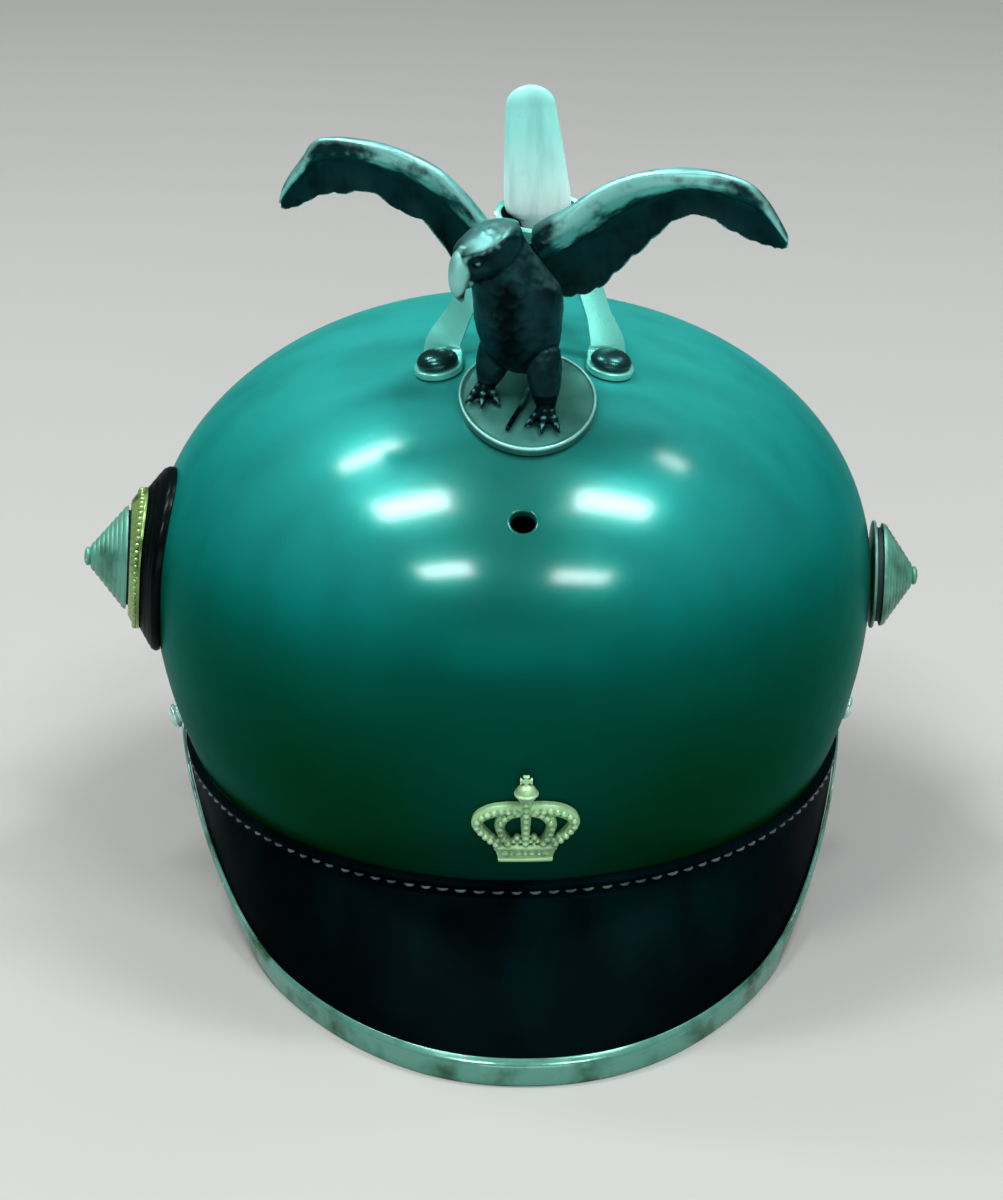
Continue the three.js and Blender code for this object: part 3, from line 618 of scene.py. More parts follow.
def dress(piece: Piece, slot: Slot, node: str, finishes: Sequence["Finish"], crease: float = 38.0) -> None:
    """Gives a piece its finishes and its place in the frame.

    Args:
        piece: The piece.
        slot: Material slot of the record, which is only logged.
        node: CAD node that it stands for.
        finishes: Its finishes, in the order of the draft's marks.
        crease: Edges sharper than this angle, in degrees, are kept sharp.
    """
    mesh = piece.data
    for finish in finishes:
        mesh.materials.append(finish.material())
    mesh.polygons.foreach_set("use_smooth", [True] * len(mesh.polygons))
    mesh.set_sharp_from_angle(angle=math.radians(crease))
    if RELIEF not in mesh.attributes:
        store_relief(mesh, np.full(len(mesh.vertices), LEVEL_RELIEF))
    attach(piece, BODY)
    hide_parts(node)
    LOG.info("%s: %d faces, slot %s", piece.name, len(mesh.polygons), slot.value)


def tone(red: float, green: float, blue: float) -> Colour:
    """Opaque linear colour."""
    return (red, green, blue, 1.0)


class Sheet:
    """Node tree of a finish or a group, with short calls to add and join nodes."""

    def __init__(self, tree: Tree) -> None:
        """Works on a tree."""
        self.tree = tree

    def fill(self, node: bpy.types.Node, inputs: Inputs) -> None:
        """Sets inputs of a node to values, or joins them to sockets.

        Args:
            node: The node.
            inputs: Values or sockets, by name or number of the input.
        """
        for key, value in inputs.items():
            if isinstance(value, Socket):
                self.tree.links.new(value, node.inputs[key])
            else:
                node.inputs[key].default_value = value

    def add(self, kind: str, inputs: Inputs | None = None, **settings: object) -> bpy.types.Node:
        """Adds a node.

        Args:
            kind: Type name of the node.
            inputs: Values or sockets for its inputs, by name or number.
            **settings: Properties of the node.

        Returns:
            The node.
        """
        node = self.tree.nodes.new(kind)
        for key, value in settings.items():
            setattr(node, key, value)
        self.fill(node, inputs or {})
        return node

    def math(self, operation: str, *terms: object) -> Socket:
        """Result of an operation on up to three values."""
        return self.add("ShaderNodeMath", dict(enumerate(terms)), operation=operation).outputs[0]

    def times(self, first: object, second: object) -> Socket:
        """Product of two values."""
        return self.math("MULTIPLY", first, second)

    def ramp(self, value: object, start: object, end: object) -> Socket:
        """Eased share from 0 at start to 1 at end."""
        inputs = {"Value": value, "From Min": start, "From Max": end}
        return self.add("ShaderNodeMapRange", inputs, interpolation_type="SMOOTHSTEP").outputs["Result"]

    def mix(self, share: object, first: object, second: object) -> Socket:
        """Colour between two colours."""
        return self.add("ShaderNodeMix", {0: share, 6: first, 7: second}, data_type="RGBA").outputs[2]

    def levels(self, height: object, painted_shading_bands: Bands) -> Socket:
        """Colour by height, for painted light and shade.

        Args:
            height: Height in metres.
            painted_shading_bands: Heights with their colours, from the lowest.

        Returns:
            The colour.
        """
        low, high = painted_shading_bands[0][0], painted_shading_bands[-1][0]
        inputs = {"Value": height, "From Min": low, "From Max": high}
        ramp = self.add("ShaderNodeValToRGB", {0: self.add("ShaderNodeMapRange", inputs).outputs[0]})
        stops = ramp.color_ramp.elements
        while len(stops) < len(painted_shading_bands):
            stops.new(0.5)
        for stop, (level, colour) in zip(stops, painted_shading_bands):
            stop.position = (level - low) / (high - low)
            stop.color = colour
        return ramp.outputs["Color"]

    def place(self) -> Socket:
        """Place on the object."""
        return self.add("ShaderNodeTexCoord").outputs["Object"]

    def axes(self) -> Sequence[Socket]:
        """Place across, in depth and in height, in metres."""
        return self.add("ShaderNodeSeparateXYZ", {0: self.place()}).outputs

    def lift(self) -> Socket:
        """How far the surface looks up, from -1 to 1."""
        normal = self.add("ShaderNodeNewGeometry").outputs["Normal"]
        return self.add("ShaderNodeSeparateXYZ", {0: normal}).outputs["Z"]

    def relief(self) -> Socket:
        """How far the surface stands out of its surroundings, from 0 to 1; on the eagle it also carries
        painted light and shade.
        """
        return self.add("ShaderNodeAttribute", attribute_name=RELIEF).outputs["Fac"]

    def pointed(self) -> Socket:
        """How sharply the mesh turns at a point."""
        return self.add("ShaderNodeNewGeometry").outputs["Pointiness"]

    def noise(self, scale: object, detail: object, stretch: Spot | None = None) -> Socket:
        """Soft noise over the object.

        Args:
            scale: Waves to the metre.
            detail: Finer layers.
            stretch: Scales along the three axes, where they differ.

        Returns:
            The noise's value.
        """
        spot = self.place()
        if stretch:
            spot = self.add("ShaderNodeMapping", {"Vector": spot, "Scale": stretch}).outputs["Vector"]
        inputs = {"Vector": spot, "Scale": scale, "Detail": detail}
        return self.add("ShaderNodeTexNoise", inputs).outputs[0]

    def effect(self, name: str, **values: object) -> Socket:
        """What a shared effect puts out, placed with its own values for the effect's inputs."""
        inputs = {key.title(): value for key, value in values.items()}
        return self.add("ShaderNodeGroup", inputs, node_tree=EFFECTS.tree(name)).outputs[0]

    def grain(self, scale: float, detail: float) -> Socket:
        """Height of a fine irregular grain."""
        return self.effect("fine_grain", scale=scale, detail=detail)

    def handled(self, span: Pair, scale: float) -> Socket:
        """Roughness that varies with handling between the two values of a span."""
        return self.effect("handling", low=span[0], high=span[1], scale=scale)

    def bump(self, height: object, depth: float, under: Socket | None = None) -> Socket:
        """Normal of a height field.

        Args:
            height: Height from 0 to 1.
            depth: What a height of 1 stands for, in millimetres.
            under: Normal to add to.

        Returns:
            The normal.
        """
        inputs = {"Height": height, "Distance": depth * MM, "Strength": 1.0}
        if under is not None:
            inputs["Normal"] = under
        return self.add("ShaderNodeBump", inputs).outputs["Normal"]


class SharedEffects:
    """Effects that several finishes use, each a node group that is built once."""

    def tree(self, name: str) -> Tree:
        """The group of an effect, built on first use."""
        made = bpy.data.node_groups.get(name)
        return made or getattr(self, "_" + name)(name)

    @staticmethod
    def _open(name: str, *labels: str) -> tuple[Sheet, list[Socket]]:
        """Starts a group.

        Args:
            name: Name of the group.
            *labels: Names of its inputs.

        Returns:
            The group's sheet and the sockets of its inputs.
        """
        tree = bpy.data.node_groups.new(name, "ShaderNodeTree")
        for label in labels:
            tree.interface.new_socket(name=label, in_out="INPUT", socket_type="NodeSocketFloat")
        return Sheet(tree), tree.nodes.new("NodeGroupInput").outputs[: len(labels)]

    @staticmethod
    def _close(sheet: Sheet, label: str, value: Socket) -> Tree:
        """Ends a group with one output.

        Args:
            sheet: The group's sheet.
            label: Name of the output.
            value: What it puts out.

        Returns:
            The group.
        """
        sheet.tree.interface.new_socket(name=label, in_out="OUTPUT", socket_type="NodeSocketFloat")
        sheet.add("NodeGroupOutput", {label: value})
        return sheet.tree

    def _fine_grain(self, name: str) -> Tree:
        """Height of a fine irregular grain."""
        sheet, (scale, detail) = self._open(name, "Scale", "Detail")
        return self._close(sheet, "Height", sheet.noise(scale, detail))

    def _edge_wear(self, name: str) -> Tree:
        """Mask of raised places rubbed bright, with a broken edge."""
        sheet, (relief, start, end, scale) = self._open(name, "Relief", "Start", "End", "Scale")
        broken = sheet.math("MULTIPLY_ADD", sheet.noise(scale, 3.0), 0.3, -0.15)
        return self._close(sheet, "Mask", sheet.ramp(sheet.math("ADD", relief, broken), start, end))

    def _hollow_tarnish(self, name: str) -> Tree:
        """Mask of tarnish that gathers in hollows and in soft patches."""
        sheet, (relief, amount, scale) = self._open(name, "Relief", "Amount", "Scale")
        hollow = sheet.ramp(relief, 0.5, 0.2)
        patch = sheet.ramp(sheet.noise(scale, 4.0), 0.42, 0.72)
        return self._close(sheet, "Mask", sheet.math("MAXIMUM", hollow, sheet.times(patch, amount)))

    def _handling(self, name: str) -> Tree:
        """Roughness that varies with handling."""
        sheet, (low, high, scale) = self._open(name, "Low", "High", "Scale")
        share = sheet.ramp(sheet.noise(scale, 5.0), 0.3, 0.75)
        spread = sheet.times(share, sheet.math("SUBTRACT", high, low))
        return self._close(sheet, "Roughness", sheet.math("ADD", spread, low))

    def _upper_wear(self, name: str) -> Tree:
        """Mask of painted top light on faces that look up, broken by noise and held back in hollows."""
        sheet, (amount, relief, scale) = self._open(name, "Amount", "Relief", "Scale")
        broken = sheet.math("MULTIPLY_ADD", sheet.noise(scale, 4.0), 0.5, -0.25)
        facing = sheet.ramp(sheet.math("ADD", sheet.lift(), broken), 0.3, 0.95)
        held = sheet.times(facing, sheet.ramp(relief, 0.25, 0.6))
        return self._close(sheet, "Mask", sheet.times(held, amount))

    def _top_dust(self, name: str) -> Tree:
        """Mask of thin dust on faces that look up."""
        sheet, (amount, scale) = self._open(name, "Amount", "Scale")
        fall = sheet.times(sheet.ramp(sheet.lift(), 0.2, 1.0), sheet.noise(scale, 6.0))
        return self._close(sheet, "Mask", sheet.times(fall, amount))


EFFECTS = SharedEffects()


@dataclass(frozen=True)
class Coating:
    """A finish by name. Its kinds say what reaches the surface shader."""

    name: str

    def paint(self, sheet: Sheet) -> Inputs:
        """Works out what reaches the surface shader.

        Args:
            sheet: Sheet of the material.

        Returns:
            Values and sockets for the shader's inputs, by name.
        """
        raise NotImplementedError

    def material(self) -> bpy.types.Material:
        """Makes the finish.

        Returns:
            The material.
        """
        material = bpy.data.materials.new(self.name)
        material.use_nodes = True
        sheet = Sheet(material.node_tree)
        shader = next(n for n in material.node_tree.nodes if n.type == "BSDF_PRINCIPLED")
        sheet.fill(shader, self.paint(sheet))
        return material


@dataclass(frozen=True)
class LacqueredLeather(Coating):
    """Glossy lacquered teal leather of the skull, with painted light and shade by height: lighter teal on
    the dome and darker green towards the rim.
    """

    name: str = "lacquered_leather"
    # painted light and shade: colours by height, lighter on the dome where light falls and darker towards
    # the rim
    painted_shading_bands: Bands = (
        (0.030, tone(0.0001, 0.0300, 0.0040)),
        (0.060, tone(0.0002, 0.0370, 0.0090)),
        (0.078, tone(0.0003, 0.0530, 0.0270)),
        (0.092, tone(0.0006, 0.0850, 0.0600)),
        (0.106, tone(0.0020, 0.1750, 0.1520)),
        (0.125, tone(0.0050, 0.2300, 0.2060)),
        (0.153, tone(0.0200, 0.3100, 0.2820)),
    )
    # painted shade: colour of a dark reflection down the middle of the front
    shade: Colour = tone(0.0005, 0.0600, 0.0420)
    painted_shade_share: float = 0.72
    cloud: Colour = tone(0.0008, 0.045, 0.034)
    clouded: float = 0.2
    dust: Colour = tone(0.20, 0.46, 0.43)
    gleam: Colour = tone(0.05, 1.0, 0.93)
    roughness: Pair = (0.29, 0.37)
    metal: float = 0.34
    refraction: float = 1.03
    coat: float = 0.62
    coat_roughness: float = 0.15

    def paint(self, sheet: Sheet) -> Inputs:
        """Paints light and shade by height and a painted shade down the middle of its front, with a clear
        coat on the dome.
        """
        across, depth, height = sheet.axes()
        drift = sheet.math("MULTIPLY_ADD", sheet.noise(14.0, 3.0), 0.02, -0.01)
        # painted light and shade by height
        tint = sheet.levels(sheet.math("ADD", height, drift), self.painted_shading_bands)
        # painted shade: a darker column down the middle of the front, below the plate, standing in for a
        # dark reflection
        middle = sheet.ramp(sheet.math("ABSOLUTE", across), 0.046, 0.004)
        front = sheet.times(middle, sheet.ramp(depth, -0.035, -0.075))
        tint = sheet.mix(sheet.times(front, self.painted_shade_share), tint, self.shade)
        clouds = sheet.ramp(sheet.noise(52.0, 5.0, (1.0, 1.0, 0.35)), 0.42, 0.74)
        tint = sheet.mix(sheet.times(clouds, self.clouded), tint, self.cloud)
        dust = sheet.effect("top_dust", amount=0.05, scale=70.0)
        peel, pores = sheet.grain(210.0, 2.0), sheet.grain(1500.0, 3.0)
        facing = sheet.add("ShaderNodeLayerWeight", {"Blend": 0.5}).outputs["Facing"]
        gloss = sheet.times(sheet.ramp(facing, 0.66, 0.26), sheet.ramp(height, 0.102, 0.122))
        return {
            "Base Color": sheet.mix(dust, tint, self.dust),
            "Roughness": sheet.handled(self.roughness, 26.0),
            "Normal": sheet.bump(pores, 0.006, sheet.bump(peel, 0.05)),
            "Metallic": self.metal,
            "IOR": self.refraction,
            "Specular Tint": self.gleam,
            "Coat Weight": sheet.times(gloss, self.coat),
            "Coat Roughness": self.coat_roughness,
        }


@dataclass(frozen=True)
class PatentLeather(Coating):
    """Near-black varnished leather with faint creases and pale streaks of painted sheen."""

    name: str = "varnished_leather"
    deep: Colour = tone(0.0001, 0.0008, 0.0011)
    # pale colour of the painted sheen streaks
    pale: Colour = tone(0.0002, 0.0080, 0.0105)
    coat: float = 0.0
    coat_roughness: float = 0.2
    roughness: Pair = (0.36, 0.52)
    specular: float = 0.008
    gleam: Colour = tone(0.25, 0.95, 1.0)
    dust: Colour = tone(0.03, 0.12, 0.12)

    def paint(self, sheet: Sheet) -> Inputs:
        """Paints pale sheen streaks over the leather, less so near the floor, with a soft grain."""
        # painted sheen: pale streaks standing in for faint reflections
        clouds = sheet.ramp(sheet.noise(46.0, 5.0, (1.0, 0.3, 0.3)), 0.35, 0.8)
        fade = sheet.times(clouds, sheet.ramp(sheet.axes()[2], 0.004, 0.034))
        dust = sheet.effect("top_dust", amount=0.02, scale=90.0)
        grain, swell = sheet.grain(420.0, 4.0), sheet.grain(60.0, 2.0)
        return {
            "Base Color": sheet.mix(dust, sheet.mix(fade, self.deep, self.pale), self.dust),
            "Roughness": sheet.handled(self.roughness, 45.0),
            "Normal": sheet.bump(grain, 0.02, sheet.bump(swell, 0.16)),
            "Specular IOR Level": self.specular,
            "Specular Tint": self.gleam,
            "Coat Weight": self.coat,
            "Coat Roughness": self.coat_roughness,
        }


@dataclass(frozen=True)
class WaxedThread(Coating):
    """Pale sewing thread."""

    name: str = "waxed_thread"
    pale: Colour = tone(0.08, 0.145, 0.15)
    soiled: Colour = tone(0.015, 0.045, 0.05)
    roughness: float = 0.7

    def paint(self, sheet: Sheet) -> Inputs:
        """Soils the thread in patches and gives it a fine twist."""
        dirt = sheet.ramp(sheet.noise(170.0, 3.0), 0.35, 0.7)
        return {
            "Base Color": sheet.mix(dirt, self.pale, self.soiled),
            "Roughness": self.roughness,
            "Normal": sheet.bump(sheet.grain(3200.0, 2.0), 0.08),
        }


@dataclass(frozen=True)
class PolishedMetal(Coating):
    """Pale polished metal with soft tarnish in patches and along inner corners."""

    bright: Colour
    tarnish: Colour = tone(0.06, 0.26, 0.20)
    amount: float = 0.4
    roughness: Pair = (0.16, 0.32)
    streaks: Spot = (1.0, 1.0, 0.12)
    rubbed: Colour = tone(0.62, 0.96, 0.90)
    metal: float = 0.45

    def paint(self, sheet: Sheet) -> Inputs:
        """Tarnishes the hollows, rubs the edges bright and adds brushing and pits."""
        hollow = sheet.effect("hollow_tarnish", relief=sheet.pointed(), amount=self.amount, scale=85.0)
        wear = sheet.effect("edge_wear", relief=sheet.pointed(), start=0.56, end=0.72, scale=500.0)
        brushed = sheet.noise(1400.0, 2.0, self.streaks)
        return {
            "Base Color": sheet.mix(wear, sheet.mix(hollow, self.bright, self.tarnish), self.rubbed),
            "Roughness": sheet.handled(self.roughness, 90.0),
            "Normal": sheet.bump(sheet.grain(700.0, 4.0), 0.012, sheet.bump(brushed, 0.012)),
            "Metallic": self.metal,
        }


@dataclass(frozen=True)
class CastMetal(Coating):
    """Cast metal with dark patina in its hollows, rubbed bright on its raised places, with a painted top
    light on faces that look up.
    """

    patina: Colour
    body: Colour
    worn: Colour
    wear: Pair = (0.62, 0.92)
    roughness: Pair = (0.3, 0.5)
    pits: float = 0.04
    # strength of the painted top light on faces that look up
    upper: float = 0.0
    metal: float = 1.0
    specular: float = 0.5
    gleam: Colour = tone(1.0, 1.0, 1.0)

    def paint(self, sheet: Sheet) -> Inputs:
        """Darkens the hollows by the stored relief, wears the raised places, paints a top light where one
        is set and adds pits.
        """
        relief = sheet.relief()
        hollow = sheet.effect("hollow_tarnish", relief=relief, amount=0.6, scale=130.0)
        start, end = self.wear
        wear = sheet.effect("edge_wear", relief=relief, start=start, end=end, scale=420.0)
        tint = sheet.mix(wear, sheet.mix(hollow, self.body, self.patina), self.worn)
        # painted top light: faces that look up take the bright colour
        if self.upper:
            above = sheet.effect("upper_wear", amount=self.upper, relief=relief, scale=160.0)
            tint = sheet.mix(above, tint, self.worn)
        return {
            "Base Color": tint,
            "Roughness": sheet.handled(self.roughness, 160.0),
            "Normal": sheet.bump(sheet.grain(900.0, 4.0), self.pits),
            "Metallic": self.metal,
            "Specular IOR Level": self.specular,
            "Specular Tint": self.gleam,
        }


@dataclass(frozen=True)
class TongueMetal(Coating):
    """Polished plume tongue, with a painted highlight just above where it meets the funnel, duller inside
    the funnel and above.
    """

    name: str = "tongue_metal"
    # painted highlight: a bright band just above the funnel's mouth, duller inside the funnel and higher up
    painted_shading_bands: Bands = (
        (0.183, tone(0.30, 0.62, 0.58)),
        (0.187, tone(0.78, 1.0, 0.98)),
        (0.197, tone(0.60, 1.0, 0.95)),
        (0.208, tone(0.36, 0.90, 0.83)),
        (0.221, tone(0.30, 0.82, 0.75)),
    )
    tarnish: Colour = tone(0.12, 0.42, 0.38)
    stained: float = 0.4
    roughness: Pair = (0.26, 0.42)
    metal: float = 0.05

    def paint(self, sheet: Sheet) -> Inputs:
        """Paints the highlight band by height, with upright streaks and brushing."""
        bright = sheet.levels(sheet.axes()[2], self.painted_shading_bands)
        streak = sheet.ramp(sheet.noise(260.0, 4.0, (1.0, 1.0, 0.14)), 0.42, 0.78)
        brushed = sheet.noise(1400.0, 2.0, (1.0, 1.0, 0.12))
        return {
            "Base Color": sheet.mix(sheet.times(streak, self.stained), bright, self.tarnish),
            "Roughness": sheet.handled(self.roughness, 90.0),
            "Normal": sheet.bump(brushed, 0.015),
            "Metallic": self.metal,
        }


@dataclass(frozen=True)
class PaleFloor(Coating):
    """Plain pale floor paint."""

    name: str = "pale_floor"
    light: Colour = tone(0.36, 0.37, 0.36)
    shade: Colour = tone(0.335, 0.345, 0.335)
    roughness: float = 0.65

    def paint(self, sheet: Sheet) -> Inputs:
        """Mottles the paint faintly."""
        tint = sheet.mix(sheet.noise(3.0, 3.0), self.light, self.shade)
        return {"Base Color": tint, "Roughness": self.roughness}


class Finish(Enum):
    """Finishes of the helmet."""

    LACQUER = LacqueredLeather()
    PATENT = PatentLeather()
    BLACK = PatentLeather(
        "cockade_leather", tone(0.0006, 0.0016, 0.0018), tone(0.0015, 0.006, 0.006), coat=0.1
    )
    THREAD = WaxedThread()
    NICKEL = PolishedMetal("worn_nickel", tone(0.18, 0.74, 0.64), amount=0.12)
    # painted shade: near-black metal inside the funnel and in the rosettes' grooves, where shade falls
    PAINTED_SHADE = PolishedMetal(
        "painted_shade_metal", tone(0.010, 0.030, 0.030), tone(0.003, 0.010, 0.010), 0.6, (0.5, 0.7)
    )
    TONGUE = TongueMetal()
    TRIM = PolishedMetal(
        "trim_metal", tone(0.11, 0.33, 0.26), tone(0.008, 0.075, 0.03), 1.0, streaks=(0.1, 0.1, 1.0)
    )
    SCREW = PolishedMetal(
        "screw_bronze", tone(0.015, 0.09, 0.085), tone(0.004, 0.02, 0.02), 0.6, (0.2, 0.36), metal=0.8
    )
    ROSETTE = PolishedMetal(
        "rosette_metal", tone(0.11, 0.36, 0.27), tone(0.006, 0.065, 0.03), 0.95, (0.34, 0.5)
    )
    RING = PolishedMetal(
        "ring_gilt", tone(0.20, 0.35, 0.11), tone(0.015, 0.06, 0.01), 0.9, rubbed=tone(0.40, 0.56, 0.24)
    )
    STUD = PolishedMetal("stud_metal", tone(0.62, 0.93, 0.85), tone(0.10, 0.30, 0.26), 0.2)
    GILT = CastMetal(
        "worn_gilt", tone(0.010, 0.040, 0.008), tone(0.38, 0.70, 0.36), tone(0.95, 1.0, 0.88), metal=0.3
    )
    # on the eagle, the worn colour also carries painted highlights and the patina painted shade
    BRONZE = CastMetal(
        "rubbed_bronze", tone(0.001, 0.004, 0.005), tone(0.008, 0.036, 0.042), tone(0.24, 0.62, 0.58),
        (0.66, 0.95), upper=0.42, metal=0.7, specular=0.06, gleam=tone(0.15, 0.85, 0.85),
    )
    PLATE = CastMetal(
        "plate_bronze", tone(0.018, 0.12, 0.10), tone(0.04, 0.20, 0.17), tone(0.24, 0.60, 0.54), metal=0.4
    )

    def material(self) -> bpy.types.Material:
        """The finish's material, made on first use."""
        made = bpy.data.materials.get(self.value.name)
        return made or self.value.material()


@dataclass
class Drafted:
    """Sub-assembly that its methods add to one draft."""

    draft: Draft = field(default_factory=Draft, init=False)


@dataclass
class Skull:
    """Hollow leather skull with a lipped vent hole through its upper front."""

    around: int = 176
    dome_rows: int = 52
    tuck_rows: int = 18
    vent_row: int = 22
    block: int = 3
    wave_height: float = 0.16
    wave_span: float = 75.0
    rim_round: float = 0.9
    lip: Rows = (
        (6.6, 0), (5.3, 0.01), (4.7, 0.02), (4.2, 0.03), (3.75, 0), (3.48, -0.1), (3.3, -0.35),
        (3.3, -1.9), (3.42, -2.35), (4.6, -2.4), (6.6, -2.4),
    )

    def _heights(self) -> Array:
        """Heights of the rows from the rim to the top."""
        low = np.linspace(FORM.rim_z, FORM.bulge_z, self.tuck_rows, endpoint=False)
        lift = np.linspace(0, math.pi / 2, self.dome_rows + 1)
        return np.append(low, FORM.bulge_z + FORM.crown_rise * np.sin(lift) ** (2 / FORM.dome_power))

    def _vent_loop(self, first: int, last: int) -> list[tuple[int, int]]:
        """Lists the points round the block that the vent takes.

        Args:
            first: Lowest row of the block.
            last: Highest row of the block.

        Returns:
            Row and column of each point.
        """
        side = self.block
        columns = list(range(-side, side))
        rows = list(range(first, last))
        loop = [(first, c) for c in columns] + [(r, side) for r in rows]
        loop += [(last, -c) for c in columns] + [(last + first - r, -side) for r in rows]
        return loop

    def dress(self) -> None:
        """Builds the skull and gives it its finish."""
        draft = Draft()
        z = self._heights()
        angle = turns(self.around)
        bare = FORM.point(angle[None], z[:, None])
        wave = self.wave_height * uneven(bare, self.wave_span, 11)
        outer = draft.lay(FORM.point(angle[None], z[:, None], wave))
        inner = draft.lay(FORM.point(angle[None], z[:, None], -FORM.wall))
        rim = FORM.point(angle, FORM.rim_z, -FORM.wall / 2) - UP * self.rim_round
        edge = draft.lay(rim[None])
        draft.stitch(closed(np.vstack([outer[:1], edge, inner[:1]])))
        middle = self.tuck_rows + self.vent_row
        first, last = middle - self.block, middle + self.block
        for index in (outer, inner):
            wrapped = closed(index)
            draft.stitch(wrapped[: first + 1])
            draft.stitch(wrapped[last:])
            draft.stitch(wrapped[first : last + 1, self.block : self.around - self.block + 1])
        self._vent(draft, outer, inner, self._vent_loop(first, last), z, angle)
        dress(make_mesh("skull_shell", draft), Slot.SKULL, "skull", [Finish.LACQUER])

    def _vent(
        self, draft: Draft, outer: Array, inner: Array, loop: list[tuple[int, int]], z: Array, angle: Array
    ) -> None:
        """Adds the vent's lip and bore between the blocks left open in both faces.

        Args:
            draft: Shape to add to.
            outer: Point numbers of the outer face.
            inner: Point numbers of the inner face.
            loop: Rows and columns round the open block.
            z: Heights of the rows.
            angle: Angles of the columns.
        """
        rows = np.array([r for r, _ in loop])
        columns = np.array([c for _, c in loop])
        centre_z = z[self.tuck_rows + self.vent_row]
        spots = FORM.point(angle[columns], z[rows])
        centre = FORM.point(0.0, centre_z)
        climb = unit(np.cross(FORM.normal(centre), [1.0, 0.0, 0.0]))
        climb = climb * np.sign(climb[2])
        turn = np.arctan2((spots - centre) @ climb, spots[:, 0])
        rings = [outer[rows, columns]]
        for radius, height in self.lip:
            flat = centre + radius * wheel(turn, [1, 0, 0], climb)
            rings.append(draft.lay(FORM.dome(flat[:, 0], -flat[:, 1], height)[None])[0])
        rings.append(inner[rows, columns])
        draft.stitch(closed(np.array(rings)))


@dataclass(frozen=True)
class PeakForm:
    """Upper face of a leather peak: a flange lapped over the skull, then a blade to its edge."""

    facing: int
    reach: float
    edge_z: float
    flat_angle: float
    reach_power: float
    bow: float
    level_edge: bool = False
    seam_z: float = 35.0
    lap: float = 4.0
    thickness: float = 2.2
    half_width: float = 92.5
    corner_z: float = 33.0
    width_power: float = 0.917
    end_angle: float = math.radians(89.5)
    sewn_row: float = 0.5
    channel: float = 0.22
    channel_width: float = 0.55

    def edge(self, angle: Array) -> Array:
        """Outer edge of the blade, level in the middle and rising to the corners.

        Args:
            angle: Angles from the peak's middle.

        Returns:
            The points.
        """
        turn = np.abs(angle)
        flat = math.radians(self.flat_angle)
        lift = smooth_step((turn - flat) / (math.pi / 2 - flat))
        across = np.sign(angle) * self.half_width * np.sin(turn) ** self.width_power
        forward = self.reach * np.cos(turn) ** self.reach_power
        z = self.edge_z + (self.corner_z - self.edge_z) * lift
        return np.stack([across, -self.facing * forward, z], -1)

    def upper(self, angle: Real, row: Real) -> Array:
        """Points on the upper face.

        Args:
            angle: Angle from the peak's middle.
            row: 0 at the lapped edge, 1 at the fold and 2 at the outer edge.

        Returns:
            The points.
        """
        angle, row = np.broadcast_arrays(np.asarray(angle, float), np.asarray(row, float))
        lap = self.lap * (1 - (np.abs(angle) / (math.pi / 2)) ** 3)
        compass = angle if self.facing > 0 else math.pi - angle
        dent = self.channel * bell((row - self.sewn_row) * lap, 0, self.channel_width)
        dent = dent * smooth_step(lap / 2)
        z = self.seam_z - lap * np.minimum(row, 1)
        on_lap = FORM.point(compass, z, GAP + self.thickness - np.where(row < 1, dent, 0))
        share = np.clip(row - 1, 0, 1)
        out = on_lap + (self.edge(angle) - on_lap) * share[..., None]
        out[..., 2] += self.bow * 4 * share * (1 - share) * np.cos(angle)
        return out

    def normal(self, angle: Real, row: Real) -> Array:
        """Outward direction of the upper face.

        Args:
            angle: Angle from the peak's middle.
            row: Place from the lapped edge to the outer edge, as in upper.

        Returns:
            A direction of length one for each place.
        """
        angle, row = np.broadcast_arrays(np.asarray(angle, float), np.asarray(row, float))
        step = 0.02
        ahead = np.minimum(angle + step, self.end_angle)
        behind = np.maximum(angle - step, -self.end_angle)
        along = self.upper(ahead, row) - self.upper(behind, row)
        down = self.upper(angle, np.minimum(row + step, 2)) - self.upper(angle, np.maximum(row - step, 0))
        return unit(np.cross(down, along)) * self.facing


FRONT_PEAK = PeakForm(1, 150.0, 5.0, 39.0, 1.48, 1.6)
REAR_PEAK = PeakForm(-1, 136.0, 0.0, 44.0, 1.3, 1.2, level_edge=True)


